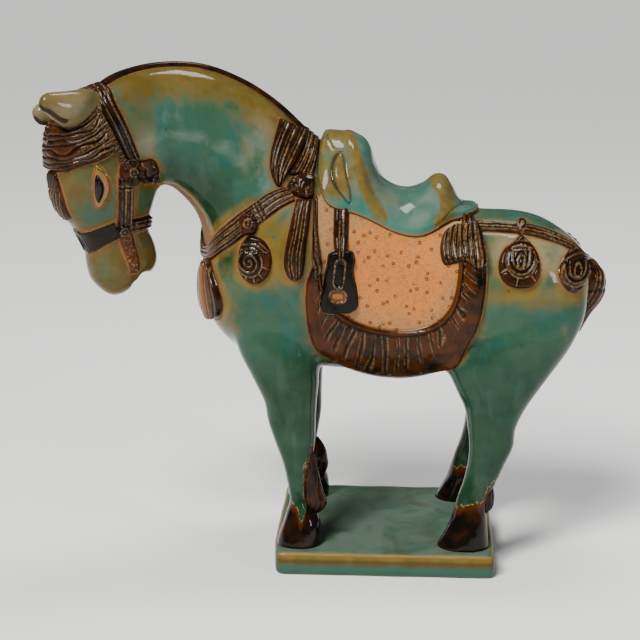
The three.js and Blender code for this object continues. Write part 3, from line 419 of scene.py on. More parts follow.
def evened(grid):
    """A grid of values, each drawn towards its four neighbours"""
    wide = np.pad(grid, [(1, 1), (1, 1), (0, 0)][:grid.ndim], mode="edge")
    return 0.5 * grid + 0.125 * (wide[:-2, 1:-1] + wide[2:, 1:-1] + wide[1:-1, :-2] + wide[1:-1, 2:])


def inside_of(line, flat):
    """How far places lie within a closed line, negative outside it"""
    far, hand = away(flat, line)
    return far * hand * away(line[:-1].mean(axis=0)[None], line)[1][0]


def powered(value, power):
    """A value raised to a power with its sign kept"""
    return np.sign(value) * np.abs(value) ** power


def section(first, second, half_width, centre=0.0, fullness=2.2, belly=0.0, facets=64):
    """A closed ring between two points of the middle plane"""
    angle = np.linspace(0, 2 * math.pi, facets, endpoint=False)
    share = 0.5 - 0.5 * powered(np.cos(angle), 2 / fullness)
    width = half_width * powered(np.sin(angle), 2 / fullness) * (1 + belly * (2 * share - 1))
    x = first[0] + (second[0] - first[0]) * share
    z = first[1] + (second[1] - first[1]) * share
    return np.column_stack([x, centre + width, z])


# Meshes

class Clay:
    """A mesh in the making, in millimetres and with the neck straight, with marks on its points for its glaze"""

    MARKS = ("edge", "cut", "lip", "tone", "panel")

    def __init__(self):
        self.bm = bmesh.new()
        self.layers = {mark: self.bm.verts.layers.float.new(mark) for mark in self.MARKS}

    def wrap(self, rings, **marks):
        """A skin over rings of points, closed round each ring and filled at both ends"""
        rows, columns = rings.shape[:2]
        grid = bmesh.ops.create_grid(self.bm, x_segments=columns, y_segments=rows - 1, size=1)["verts"]
        place = np.array([v.co[:2] for v in grid])
        column = np.rint((place[:, 0] + 1) / 2 * columns).astype(int) % columns
        row = np.rint((place[:, 1] + 1) / 2 * (rows - 1)).astype(int)
        for v, co in zip(grid, rings[row, column].tolist()):
            v.co = co
        for mark, values in marks.items():
            layer = self.layers[mark]
            full = np.broadcast_to(values, (rows, columns))[row, column]
            for v, value in zip(grid, full.tolist()):
                v[layer] = value
        seam = [v for v, c in zip(grid, column.tolist()) if c == 0]
        bmesh.ops.remove_doubles(self.bm, verts=seam, dist=1e-5)
        open_edges = [e for e in self.bm.edges if e.is_boundary]
        bmesh.ops.holes_fill(self.bm, edges=open_edges, sides=0)

    def both(self, rings, **marks):
        """The same on the left and the right side"""
        self.wrap(rings, **marks)
        self.wrap(rings * np.array([1.0, -1.0, 1.0]), **marks)

    def mesh(self, name):
        bmesh.ops.recalc_face_normals(self.bm, faces=self.bm.faces[:])
        mesh = bpy.data.meshes.new(name)
        self.bm.to_mesh(mesh)
        self.bm.free()
        return mesh


def points_of(mesh):
    """A mesh's points as rows of x, y and z"""
    out = np.empty(len(mesh.vertices) * 3, np.float32)
    mesh.vertices.foreach_get("co", out)
    return out.reshape(-1, 3).astype(float)


def set_points(mesh, points):
    mesh.vertices.foreach_set("co", np.asarray(points, np.float32).ravel())
    mesh.update()


def set_mark(mesh, name, values):
    """Writes a mark on a mesh's points, for its glaze to read"""
    layer = mesh.attributes.get(name) or mesh.attributes.new(name, "FLOAT", "POINT")
    layer.data.foreach_set("value", np.asarray(values, np.float32))


def placed(name, data, location=(0, 0, 0), turn=(0, 0, 0)):
    """An object in the scene"""
    thing = bpy.data.objects.new(name, data)
    thing.location, thing.rotation_euler = location, turn
    bpy.context.scene.collection.objects.link(thing)
    return thing


def fired(shape, name, glaze):
    """Turns the forehand, brings a shape to metres and makes it a glazed piece of the horse"""
    mesh = shape.mesh(name) if isinstance(shape, Clay) else shape
    set_points(mesh, turned(points_of(mesh)) / 1000)
    mesh.shade_smooth()
    mesh.materials.append(finish(glaze))
    piece = placed(name, mesh)
    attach(piece, "root")
    return piece


class Form:
    """A shape that other work is laid on, from meshes or other forms"""

    def __init__(self, *shapes):
        points, normals, corners = [], [], []
        start = 0
        for shape in shapes:
            if isinstance(shape, Form):
                own = shape.points, shape.normals, shape.corners
            else:
                shape.calc_loop_triangles()
                tris = np.empty(len(shape.loop_triangles) * 3, np.int32)
                shape.loop_triangles.foreach_get("vertices", tris)
                way = np.empty(len(shape.vertices) * 3, np.float32)
                shape.vertex_normals.foreach_get("vector", way)
                own = points_of(shape), way.reshape(-1, 3).astype(float), tris.reshape(-1, 3)
            points.append(own[0])
            normals.append(own[1])
            corners.append(own[2] + start)
            start += len(own[0])
        self.points, self.normals, self.corners = (np.vstack(each) for each in (points, normals, corners))
        self.tree = BVHTree.FromPolygons(self.points.tolist(), self.corners.tolist())

    def cast(self, origins, directions, passing):
        """Where rays first strike and the normals there; one that misses takes the place nearest to passing"""
        shape = origins.shape
        hits, faces = [], []
        for o, d, p in zip(*(each.reshape(-1, 3).tolist() for each in (origins, directions, passing))):
            hit, _, face, _ = self.tree.ray_cast(o, d)
            if hit is None:
                hit, _, face, _ = self.tree.find_nearest(p)
            hits.append(hit[:])
            faces.append(face)
        hits = np.array(hits)
        tri = self.corners[np.array(faces)]
        a, b, c = (self.points[tri[:, k]] for k in range(3))
        cross = np.cross(b - a, c - a)
        area = np.maximum((cross * cross).sum(1), 1e-12)
        wb = (np.cross(hits - a, c - a) * cross).sum(1) / area
        wc = (np.cross(b - a, hits - a) * cross).sum(1) / area
        wa = 1 - wb - wc
        normal = sum(w[:, None] * self.normals[tri[:, k]] for k, w in enumerate((wa, wb, wc)))
        normal /= np.linalg.norm(normal, axis=1)[:, None]
        return hits.reshape(shape), normal.reshape(shape)

    def beside(self, xz):
        """On the left side, at x and z"""
        zeros = np.zeros(xz.shape[:-1])
        passing = np.stack([xz[..., 0], zeros - 0.01, xz[..., 1]], axis=-1)
        origins = passing.copy()
        origins[..., 1] = -200.0
        directions = np.broadcast_to([0.0, 1.0, 0.0], origins.shape)
        return self.cast(origins, directions, passing)

    def press(self, points, ways, reach):
        """Points moved onto the form against their way out, from within reach"""
        return self.cast(points + reach * ways, -ways, points)

    def nearest(self, points):
        """The way out at the places nearest to points"""
        faces = [self.tree.find_nearest(p)[2] for p in points.tolist()]
        out = self.normals[self.corners[faces]].sum(axis=1)
        return out / np.linalg.norm(out, axis=1)[:, None]

    def around(self, grid, x, radius, reach):
        """A grid of distances round an upright line and heights, struck from within reach of the line"""
        turn = grid[..., 0] / radius
        centres = np.stack([np.full(turn.shape, x * PART), 0 * turn, grid[..., 1]], axis=-1)
        ways = np.stack([-np.cos(turn), -np.sin(turn), 0 * turn], axis=-1)
        return self.press(centres, ways, reach)


def laid(form, grid, soft):
    """A grid seen from the side, on a form whose steps are evened out over soft rounds"""
    base, way = form.beside(grid)
    for _ in range(soft):
        base[..., 1] = evened(base[..., 1])
        way = evened(way)
    return base, way / np.linalg.norm(way, axis=-1)[..., None]


def bedded(base, normal, height, **marks):
    """Closed rings of a piece: its outside over a base, and a few points of its bed beneath"""
    columns = base.shape[1]
    picks = np.unique(np.linspace(0, columns - 1, max(3, columns // 10)).astype(int))[::-1]
    top = base + normal * height[..., None]
    bed = base[:, picks] - normal[:, picks] * BEDDING
    blank = np.zeros((base.shape[0], len(picks)))
    for mark, values in marks.items():
        marks[mark] = np.concatenate([np.broadcast_to(values, top.shape[:2]), blank], axis=1)
    return np.concatenate([top, bed], axis=1), marks


def rim_of(xz):
    """Distance of a grid's points from its border"""
    border = np.concatenate([xz[0], xz[1:, -1], xz[-1, -2::-1], xz[-2::-1, 0]])
    return away(xz, border)[0]


def raised(edge, height, margin=1.0, slope=1.4):
    """Relief that leaves the ground in a low margin and then rises"""
    return -0.7 + 1.0 * ramp(edge, 0, 0.8 * margin) + (height - 0.3) * ramp(edge, margin, margin + slope)


def counted(length, step=STEP):
    """How many points a length is given"""
    return max(4, int(round(length / step)) + 1)


def widths_of(a, b):
    """Distances between the points of two lines"""
    return np.linalg.norm(b - a, axis=1)


def spanned(a, b, columns):
    """A grid from one line of points to another"""
    share = np.linspace(0, 1, columns)[None, :, None]
    return a[:, None] * (1 - share) + b[:, None] * share


def between(left, right, rows=None):
    """A grid between two edges that are drawn in the same direction"""
    left, right = at(left), at(right)
    rows = rows or counted(max(length_of(left), length_of(right)))
    a, b = curve(left, rows), curve(right, rows)
    return spanned(a, b, counted(widths_of(a, b).max()))


def over(grid):
    """How far the points of a grid lie across it, from -1 to 1, down it, from 0 to 1, and its width there"""
    rows, columns = grid.shape[:2]
    return np.broadcast_arrays(
        np.linspace(-1, 1, columns)[None, :], np.linspace(0, 1, rows)[:, None],
        widths_of(grid[:, 0], grid[:, -1])[:, None],
    )


def disc(outline, step=STEP):
    """A grid inside a closed outline, with no pole: the square's corners go to its rim"""
    count = 240
    rim = curve(at(outline), count + 1, closed=True)
    centre = rim[:-1].mean(axis=0)
    size = np.linalg.norm(rim - centre, axis=1).mean()
    n = counted(1.8 * size, step)
    a, b = np.meshgrid(np.linspace(-1, 1, n), np.linspace(-1, 1, n), indexing="ij")
    x, y = a * np.sqrt(1 - b * b / 2), b * np.sqrt(1 - a * a / 2)
    radius = np.hypot(x, y)
    angle = np.arctan2(y, x) % (2 * math.pi)
    start = math.atan2(*(rim[0] - centre)[::-1])
    turn = 1 if away(centre[None] + [[0.0, 0.1]], rim)[1][0] > 0 else -1
    share = ((angle - start) * turn) % (2 * math.pi) / (2 * math.pi) * count
    edge = np.stack([np.interp(share, np.arange(count + 1), rim[:, k]) for k in range(2)], axis=-1)
    return centre + (edge - centre) * radius[..., None], centre


# Glazes

class Wire:
    """A value in a material: arithmetic on it adds Math nodes"""

    def __init__(self, glaze, socket):
        self.glaze = glaze
        self.socket = socket

    def maths(self, operation, *others, flipped=False, clamp=False):
        values = [self, *others]
        if flipped:
            values.reverse()
        settings = {"operation": operation, "use_clamp": clamp}
        return self.glaze.node("ShaderNodeMath", settings, dict(enumerate(values)))

    def __add__(self, other):
        return self.maths("ADD", other)

    def __radd__(self, other):
        return self.maths("ADD", other, flipped=True)

    def __sub__(self, other):
        return self.maths("SUBTRACT", other)

    def __rsub__(self, other):
        return self.maths("SUBTRACT", other, flipped=True)

    def __mul__(self, other):
        return self.maths("MULTIPLY", other)

    def __rmul__(self, other):
        return self.maths("MULTIPLY", other, flipped=True)

    def clamped(self):
        """The value, kept from 0 to 1"""
        return self.maths("ADD", 0.0, clamp=True)

    def sway(self, size):
        """Noise from 0 to 1 made to swing about 0, over size from end to end"""
        return (self - 0.5) * size

    def above(self, low, high):
        """0 below low, 1 above high and smooth between; low may be the greater"""
        inputs = {"Value": self, "From Min": low, "From Max": high}
        return self.glaze.node("ShaderNodeMapRange", {"interpolation_type": "SMOOTHSTEP"}, inputs)


class Glaze:
    """A material built from values"""

    def __init__(self, name):
        self.material = bpy.data.materials.new(name)
        self.material.use_nodes = True
        self.tree = self.material.node_tree
        self.tree.nodes.clear()
        self.place = self.node("ShaderNodeTexCoord", output="Object")

    def node(self, kind, settings=None, inputs=None, output=0):
        """A node of a kind, with its settings and the values or wires of its inputs"""
        node = self.tree.nodes.new(kind)
        for name, value in (settings or {}).items():
            setattr(node, name, value)
        for name, value in (inputs or {}).items():
            if isinstance(value, Wire):
                self.tree.links.new(value.socket, node.inputs[name])
            else:
                node.inputs[name].default_value = value
        return Wire(self, node.outputs[output]) if node.outputs else None

    def marks(self, *names):
        """The marks that a mesh carries on its points"""
        return [self.node("ShaderNodeAttribute", {"attribute_name": name}, output="Fac") for name in names]

    def clouds(self, size, detail=3.0, distortion=0.0, stretch=None):
        """Noise from 0 to 1 with features of about size millimetres"""
        place = self.place
        if stretch:
            place = self.node("ShaderNodeMapping", None, {"Vector": place, "Scale": stretch})
        inputs = {"Vector": place, "Scale": 1000.0 / size, "Detail": detail, "Distortion": distortion}
        return self.node("ShaderNodeTexNoise", None, inputs)

    def specks(self, size, radius):
        """1 in small round specks about size millimetres apart"""
        inputs = {"Vector": self.place, "Scale": 1000.0 / size}
        far = self.node("ShaderNodeTexVoronoi", None, inputs, output="Distance")
        return far.above(radius, radius * 0.5)

    def rings(self, size, radius):
        """1 on small rings about size millimetres apart, seen from the side"""
        place = self.node("ShaderNodeCombineXYZ", None, {"X": self.axis("X"), "Y": self.axis("Z")})
        inputs = {"Vector": place, "Scale": 1000.0 / size, "Randomness": 0.9}
        far = self.node("ShaderNodeTexVoronoi", {"voronoi_dimensions": "2D"}, inputs, output="Distance")
        return far.above(radius, radius * 0.75) * (far.above(radius * 0.25, radius * 0.6) * 0.6 + 0.4)

    def distance(self, centre):
        """Distance from a place, in metres"""
        inputs = {0: self.place, 1: centre}
        return self.node("ShaderNodeVectorMath", {"operation": "DISTANCE"}, inputs, output="Value")

    def axis(self, name):
        """A coordinate in metres"""
        return self.node("ShaderNodeSeparateXYZ", None, {"Vector": self.place}, output=name)

    def mix(self, first, second, share):
        """The first colour, turned into the second by a share"""
        inputs = {"Factor": share, 6: self.colour(first), 7: self.colour(second)}
        return self.node("ShaderNodeMix", {"data_type": "RGBA"}, inputs, output=2)

    @staticmethod
    def colour(value):
        return value if isinstance(value, Wire) else (*value[:3], 1.0)

    def finish(self, colour, roughness, height, bump, coat):
        """The material, glossy, with relief of at most a millimetre and a share of clear coat"""
        relief = {"Height": height, "Strength": bump, "Distance": 0.001}
        normal = self.node("ShaderNodeBump", None, relief, output="Normal")
        shader = self.node("ShaderNodeBsdfPrincipled", None, {
            "Base Color": colour, "Roughness": roughness, "Normal": normal, "Coat Weight": coat,
            "Coat Roughness": 0.04, "IOR": 1.24,
        })
        self.node("ShaderNodeOutputMaterial", None, {"Surface": shader})
        return self.material


def colour_property(name, description, value):
    return bpy.props.FloatVectorProperty(
        name=name, description=description, subtype="COLOR", size=3, min=0.0, max=1.0, default=value
    )


def size_property(name, description, millimetres):
    return bpy.props.FloatProperty(
        name=name, description=description, subtype="DISTANCE", unit="LENGTH", default=millimetres / 1000,
        min=0.0001, max=0.4,
    )


class HorseGlazes(bpy.types.PropertyGroup):
    """The colours of the glazes"""

    teal: colour_property("Teal", "Copper green glaze on the body", (0.030, 0.079, 0.046))
    # Deep teal is also painted as shade low on the body
    deep_teal: colour_property("Deep teal", "The same glaze where it is thick", (0.008, 0.030, 0.012))
    # This milky teal is also painted as sheen on the neck and the ear
    pale_teal: colour_property("Pale teal", "The same glaze where it is thin and milky", (0.125, 0.170, 0.130))
    bright_teal: colour_property("Bright teal", "The same glaze pooled along the saddle's edge", (0.012, 0.135, 0.095))
    blue: colour_property("Blue", "A blue tinge in the green glaze", (0.021, 0.085, 0.067))
    ochre: colour_property("Ochre", "Golden olive where the green glaze meets the brown", (0.165, 0.105, 0.016))
    dark_ochre: colour_property("Dark ochre", "The same where it is thick", (0.062, 0.036, 0.004))
    tan: colour_property("Tan", "Bare clay along the relief", (0.21, 0.095, 0.033))
    # Cream also paints sheen beside grooves and a highlight along the plinth's rim
    cream: colour_property("Cream", "Glaze broken on sharp edges", (0.36, 0.22, 0.095))
    amber: colour_property("Amber", "Thin brown glaze", (0.085, 0.021, 0.002))
    brown: colour_property("Brown", "Brown glaze on the tack", (0.020, 0.007, 0.002))
    black: colour_property("Black", "Thick brown glaze, nearly black", (0.004, 0.003, 0.002))
    panel: colour_property("Panel", "Orange tan in the middle of the saddle cloth", (0.50, 0.165, 0.032))
    panel_edge: colour_property("Panel edge", "Greyer tan round it", (0.30, 0.170, 0.070))


class HorseSizes(bpy.types.PropertyGroup):
    """The sizes that stand by themselves"""

    plinth_length: size_property("Plinth length", "Along the horse", 130.0)
    plinth_depth: size_property("Plinth depth", "Across the horse", 121.0)
    plinth_height: size_property("Plinth height", "Thickness of the slab", PLINTH_TOP)
    plinth_corner: size_property("Plinth corner", "Radius of the upright corners", 5.0)
    plinth_edge: size_property("Plinth edge", "Radius of the level edges", 2.0)
    strap_relief: size_property("Strap relief", "How far straps stand proud", 1.8)
    pendant_relief: size_property("Pendant relief", "How far pendants stand proud", 3.2)
    hair_relief: size_property("Hair relief", "How far locks and flaps stand proud", 2.6)
    cloth_relief: size_property("Cloth relief", "How far the cloth's panel stands proud", 1.4)
    border_relief: size_property("Border relief", "How far the cloth's pleats stand proud", 3.4)
    saddle_relief: size_property("Saddle relief", "Thickness of the saddle's flaps", 4.6)
    stirrup_relief: size_property("Stirrup relief", "How far the stirrups stand proud", 3.0)


def sizes():
    """The sizes that a user may change, in metres"""
    return bpy.context.scene.horse_sizes


def mm(value):
    """Metres as millimetres"""
    return value * 1000


# What the steps leave for later ones: forms to lay work on, and places on the pieces and the tufts
forms = {}
laid_pieces = []
tufts = []


# The horse

def torso_rings(count=110):
    """The torso's sections, upright and across the horse"""
    rows = smooth_rows(TORSO, count)
    return np.array([
        section(at((x, top)), at((x, low)), w * PART, fullness=TORSO_FULLNESS) for x, top, low, w in rows
    ])


def neck_rings(count=70):
    """The neck's sections, from crest to throat"""
    rows = smooth_rows(NECK, count)
    return np.array([section(at((cx, cz)), at((tx, tz)), w * PART, belly=0.12) for cx, cz, tx, tz, w in rows])


def head_rings(count=90):
    """The head's sections, from face to jaw"""
    rows = smooth_rows(HEAD, count)
    return np.array([section(at((fx, fz)), at((jx, jz)), w * PART, fullness=2.4) for fx, fz, jx, jz, w in rows])


def leg_rings(table, count=120):
    """A left leg's level sections, down into the plinth"""
    rows = smooth_rows(table, count)
    rings = [section(at((f, z)), at((b, z)), w * PART, centre=-c * PART) for z, f, b, w, c in rows]
    foot = rings[-1].copy()
    foot[:, 2] = PLINTH_TOP - HOOF_SINK
    return np.array([*rings, foot])


def ear_rings(table, count=60):
    """An ear's sections, with the fold down its outside"""
    rings = []
    for x, top, low, thick, y in smooth_rows(table, count):
        angle = np.linspace(0, 2 * math.pi, 64, endpoint=False)
        from_fold = np.angle(np.exp(1j * (angle - EAR_FOLD)))
        fold = 0.75 * bell(from_fold, 0.36) * ramp(-x, 67.5, 70.0) * ramp(x, -76, -74.8)
        across, up = np.sin(angle) * (1 - fold), np.cos(angle) * (1 - fold)
        middle, half = (top + low) / 2, (top - low) / 2
        ring = np.column_stack([np.full(len(angle), x), y + thick * across, middle + half * up]) * PART
        rings.append(ring + [0, 0, PLINTH_TOP])
    return np.array(rings)


def smoothed(mesh, points, share, rounds):
    """Points drawn towards the middle of their neighbours by a share, round after round"""
    share = np.broadcast_to(share, len(points))[:, None]
    ends = np.empty(len(mesh.edges) * 2, np.int32)
    mesh.edges.foreach_get("vertices", ends)
    a, b = ends.reshape(-1, 2).T
    count = np.bincount(np.r_[a, b], minlength=len(points))[:, None]
    for _ in range(rounds):
        total = np.stack([
            np.bincount(np.r_[a, b], np.r_[points[b, k], points[a, k]], minlength=len(points)) for k in range(3)
        ], axis=1)
        points = points + share * (total / count - points)
    return points


def fused(mesh, voxel):
    """One skin round all the shells of a mesh"""
    lump = placed("lump", mesh)
    remesh = lump.modifiers.new("Fuse", "REMESH")
    remesh.mode = "VOXEL"
    remesh.voxel_size = voxel
    graph = bpy.context.evaluated_depsgraph_get()
    out = bpy.data.meshes.new_from_object(lump.evaluated_get(graph))
    bpy.data.objects.remove(lump)
    bpy.data.meshes.remove(mesh)
    return out


def skin(lofts, voxel):
    """One smooth skin round lofts, with the folds and the mouth pressed in"""
    clay = Clay()
    for rings in lofts:
        clay.wrap(rings)
    mesh = fused(clay.mesh("clay"), voxel)
    points = points_of(mesh)
    joins = np.max([bell(away(points[:, ::2], at(line))[0], reach * PART) for line, reach in JOINS], axis=0)
    points = smoothed(mesh, points, 0.5 * joins, 60)
    set_points(mesh, carved(smoothed(mesh, points, 0.35, 5)))
    return mesh


def shape_body():
    """The horse; the head is also kept without its ears, to lay the bridle and the forelock on"""
    head = [neck_rings(), head_rings()]
    mesh = skin(head, HEAD_VOXEL)
    forms["bald"] = Form(mesh)
    bpy.data.meshes.remove(mesh)
    legs = [leg_rings(table) * [1, hand, 1] for table in (FORELEG, HIND_LEG) for hand in (1, -1)]
    ears = [ear_rings(LEFT_EAR), ear_rings(RIGHT_EAR) * [1, -1, 1]]
    mesh = skin([torso_rings(), *head, *legs, *ears], BODY_VOXEL)
    forms["body"] = Form(mesh)
    return mesh


def carved(points):
    """The folds of skin and the mouth, pressed into the body"""
    flat, side = points[:, ::2].copy(), np.sign(points[:, 1])
    for line, width, depth in FOLDS:
        points[:, 1] -= side * depth * bell(away(flat, curve(at(line), 24))[0], width)
    for centre, depth, reach in MOUTH:
        far = flat - at(centre)
        size = np.linalg.norm(far, axis=1)
        points[:, ::2] += (depth * bell(size, reach) / np.maximum(size, 0.1))[:, None] * far
    return points


def torso_at(x):
    """Top, bottom and half width of the torso at x, all in millimetres"""
    rows = smooth_rows(TORSO, 400) * PART
    return [np.interp(x, rows[:, 0], rows[:, k]) for k in (1, 2, 3)]


def round_back(x, angle):
    """Points on the torso at x, from angle 0 on the back down the left side, and their way out"""
    top, low, half = torso_at(x)
    sine, cosine = np.sin(angle), np.cos(angle)
    z = PLINTH_TOP + top - (top - low) * (0.5 - 0.5 * powered(cosine, 2 / TORSO_FULLNESS))
    base = np.stack([x, -half * powered(sine, 2 / TORSO_FULLNESS), z], axis=-1)
    out = np.cross(np.gradient(base, axis=1), np.gradient(base, axis=0))
    out /= np.maximum(np.linalg.norm(out, axis=-1), 1e-9)[..., None]
    straight = np.stack([np.zeros_like(x), -sine, cosine], axis=-1)
    out *= np.where((out * straight).sum(-1) < 0, -1.0, 1.0)[..., None]
    mixed = 0.5 * out + 0.5 * straight
    return base, mixed / np.linalg.norm(mixed, axis=-1)[..., None]


def angle_at(xz):
    """The angle round the torso of places seen from the side"""
    top, low, _ = torso_at(xz[..., 0])
    drop = np.clip((top + PLINTH_TOP - xz[..., 1]) / (top - low), 0.002, 0.965)
    return np.arccos(powered(1 - 2 * drop, TORSO_FULLNESS / 2))


def fitted(base, out):
    """Points over the torso, moved out to the body where legs and shoulders are fuller"""
    hits, _ = forms["body"].press(base, out, TORSO_REACH)
    lift = np.clip(((hits - base) * out).sum(-1), -1.0, 5.0)
    for _ in range(14):
        lift = evened(lift)
    return base + out * lift[..., None]


def on_side(form, line, beyond=()):
    """A path in space: a line drawn from the side and brought onto a form, and places beyond it"""
    places = np.reshape(beyond, (-1, 3)) * PART + [0, 0, PLINTH_TOP]
    return np.vstack([form.beside(curve(at(line), 40))[0], places])


def strap_grid(form, path, widths, open_ends=(True, True)):
    """A strap's grid along a path, pressed onto a form: places, way out, width, distance along it and from its
    edge, and how far across from -1 to 1"""
    rows = counted(length_of(path))
    spine = curve(path, rows)
    _, normal = form.press(spine, form.nearest(spine), STRAP_REACH)
    aside = np.cross(normal, np.gradient(spine, axis=0))
    aside /= np.linalg.norm(aside, axis=1)[:, None]
    half = np.interp(np.linspace(0, 1, rows), np.linspace(0, 1, len(widths)), widths) * PART / 2
    share = np.linspace(-1, 1, counted(2 * half.max()))[None, :]
    offset = half[:, None] * share
    points = spine[:, None] + aside[:, None] * offset[..., None]
    base, way = form.press(points, np.broadcast_to(normal[:, None], points.shape), STRAP_REACH)
    along = np.linspace(0, length_of(spine), rows)[:, None] + 0 * offset
    edge = half[:, None] - np.abs(offset)
    for is_open, from_end in zip(open_ends, (along, along.max() - along)):
        if not is_open:
            edge = np.minimum(edge, from_end)
    return base, way, 2 * half[:, None] + 0 * offset, along, edge, share + 0 * offset


def corded(share, along, ridges, width, pitch=0.0, wander=0.0):
    """Ridges along a piece, with the grooves between them; a pitch breaks them into beads. Height, cut and lip"""
    phase = (share * 0.5 + 0.5) * ridges
    if wander:
        phase = phase + wander * waver(np.stack([along / 9.0, phase * 0.7], axis=-1), 1.0, 3.0)
    which = np.round(phase)
    far = np.abs(phase - which) * width / ridges
    inside = (phase > 0.5) & (phase < ridges - 0.5)
    uneven = 0.75 + 0.25 * np.sin(which * 5.1 + along / 5.0)
    cut = np.where(inside, bell(far, 0.50 * uneven), 0.0)
    # The lip beside each groove: broken glaze, and painted sheen
    lip = np.where(inside, 0.85 * bell(far - 0.95, 0.36) * uneven, 0.0)
    height = 0.55 * np.abs(np.sin(math.pi * phase)) ** 0.6 - 0.7 * cut
    if pitch:
        bead = np.abs(np.sin(math.pi * along / pitch))
        height = height + 0.35 * bead
        cut = np.maximum(cut, 0.7 * bell(bead, 0.25))
    return height, cut, lip


def wrap_piece(clay, base, way, height, both=True, **marks):
    """A piece of some height over a base, on the left side alone or on both"""
    rings, marks = bedded(base, way, height, **marks)
    (clay.both if both else clay.wrap)(rings, **marks)
    laid_pieces.append(base[::3, ::3].reshape(-1, 3))


def ribbed_strap(clay, form, path, widths, relief, ridges, open_ends=(True, True), inside=(0.7, 1.5), ties=(),
                 tie_depth=0.5, bare=(1e3, 2e3), both=True, **ribs):
    """A corded strap along a path, with thread tied across it in places, and bare clay from some way along it"""
    base, way, width, along, edge, share = strap_grid(form, path, widths, open_ends)
    ridge, cut, lip = corded(share, along, ridges, width, **ribs)
    from_tie = np.min([along + 1e3, *(np.abs(along - tie) for tie in ties)], axis=0)
    tie, beside = bell(from_tie, 0.6), bell(from_tie - 1.1, 0.4)
    inner = ramp(edge, *inside)
    wrap_piece(clay, base, way, raised(edge, relief, 0.8) + (ridge - tie_depth * tie) * inner, both, edge=edge,
               cut=np.maximum(cut, tie) * inner, lip=np.maximum(lip, beside) * inner, tone=0.9 * ramp(along, *bare))


def side_leaf(clay, form, left, right, relief, ribs, margin=0.9, bend=0.0, wander=0.12, hem=None, rise=0.0, soft=12):
    """A lock or flap between two edges seen from the side, with grooves along it"""
    grid = between(left, right)
    rows, columns = grid.shape[:2]
    if hem:
        drop = curve(np.column_stack([np.linspace(-1, 1, len(hem)), hem]), columns)[:, 1]
        grid[..., 1] += PART * drop * ramp(np.linspace(0, 1, rows), 0.45, 1.0)[:, None]
    base, way = laid(form, grid, soft)
    edge = rim_of(grid)
    share, down, width = over(grid)
    along = down * length_of(grid[:, columns // 2])
    share = np.clip(share + bend * np.sin(math.pi * down), -1, 1)
    height, cut, lip = corded(share, along, ribs, width, wander=wander)
    inner = ramp(edge, margin, margin + 1.2)
    height = raised(edge, relief + rise * ramp(down, 0.45, 0.75), margin) + height * inner
    wrap_piece(clay, base, way, height, edge=edge, cut=cut * inner, lip=lip * inner)


def side_disc(clay, form, outline, relief, detail, margin=0.9, soft=6, both=True, step=STEP):
    """A raised plate inside an outline seen from the side; detail gives height, cut, lip and tone from places"""
    grid, centre = disc(outline, step)
    base, way = laid(form, grid, soft)
    edge = rim_of(grid)
    inner = ramp(edge, margin, margin + 1.0)
    height, cut, lip, tone = detail((grid - centre) / PART, inner)
    wrap_piece(clay, base, way, raised(edge, relief, margin) + height * inner, both, edge=edge, cut=cut * inner,
               lip=lip * inner, tone=tone)


def shape_saddle():
    """A sheet over the back with a raised front and seat, a leaf, ridges and cuts"""
    rows, columns = ((150, 190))
    table = smooth_rows(SADDLE, 400)
    x = np.linspace(SADDLE[0][0], SADDLE[-1][0], rows)
    top, low = (np.interp(x, table[:, 0], table[:, k]) for k in (1, 2))
    x_grid, share = np.meshgrid(x * PART, np.linspace(-1, 1, columns), indexing="ij")
    reach = angle_at(at(np.column_stack([x, low])))[:, None]
    size = np.abs(share)
    base, out = round_back(x_grid, size * reach + 1e-4)
    for field in (base, out):
        field[..., 1] *= np.where(share < 0, 1, -1)
    mirror = [1, -1, 1]
    left, right = fitted(base, out), fitted(base * mirror, out * mirror) * mirror
    base = np.where(share[..., None] < 0, left, right)
    lip = mm(sizes().saddle_relief)
    rise = (top * PART - torso_at(x * PART)[0])[:, None]
    arch = np.maximum(0, 1 - size ** 1.6) ** 1.4
    edge = np.minimum((1 - size) * reach * GIRTH, np.minimum(x_grid - x_grid[0], x_grid[-1] - x_grid) + 0.2)
    rim = 0.55 + 0.45 * ramp(edge, 0.0, 3.2)
    height = (lip + (rise - lip) * arch) * np.where(arch < 0.5, rim, np.maximum(rim, ramp(edge, -2, 2)))
    flat = (base + out * height[..., None])[..., ::2]
    leaf = inside_of(curve(at(SADDLE_LEAF), 90, closed=True), flat)
    groove = 0.42 + 0.7 * ramp(-flat[..., 0], 9.4 * PART, 10.6 * PART)
    height = height + 1.2 * ramp(leaf, -0.2, 2.2) - 0.7 * bell(leaf, groove + 0.1)
    cuts, tones = [bell(leaf, groove)], [bell(leaf - 2.6, 2.0)]
    for line, width, lift in SADDLE_RIDGES:
        far = away(flat, curve(at(line), 60))[0]
        height = height + lift * bell(far, width)
        tones.append(bell(far, 1.15 * width))
    for line in SADDLE_CUTS:
        far = away(flat, curve(at(line), 40))[0]
        height = height - 0.3 * bell(far, 0.5)
        cuts.append(0.8 * bell(far, 0.4))
    tones.append(0.75 * bell(flat[..., 0] - SADDLE[0][0] * PART - 1.5, 5.0))
    tones.append(0.62 * ramp(-flat[..., 0], 4.5 * PART, 8.5 * PART) * ramp(flat[..., 1] / PART, 75.0, 80.0))
    clay = Clay()
    rings, marks = bedded(base, out, height, edge=edge, cut=np.max(cuts, axis=0), tone=np.max(tones, axis=0))
    clay.wrap(rings, **marks)
    laid_pieces.append((base + out * height[..., None])[::3, ::3].reshape(-1, 3))
    return clay


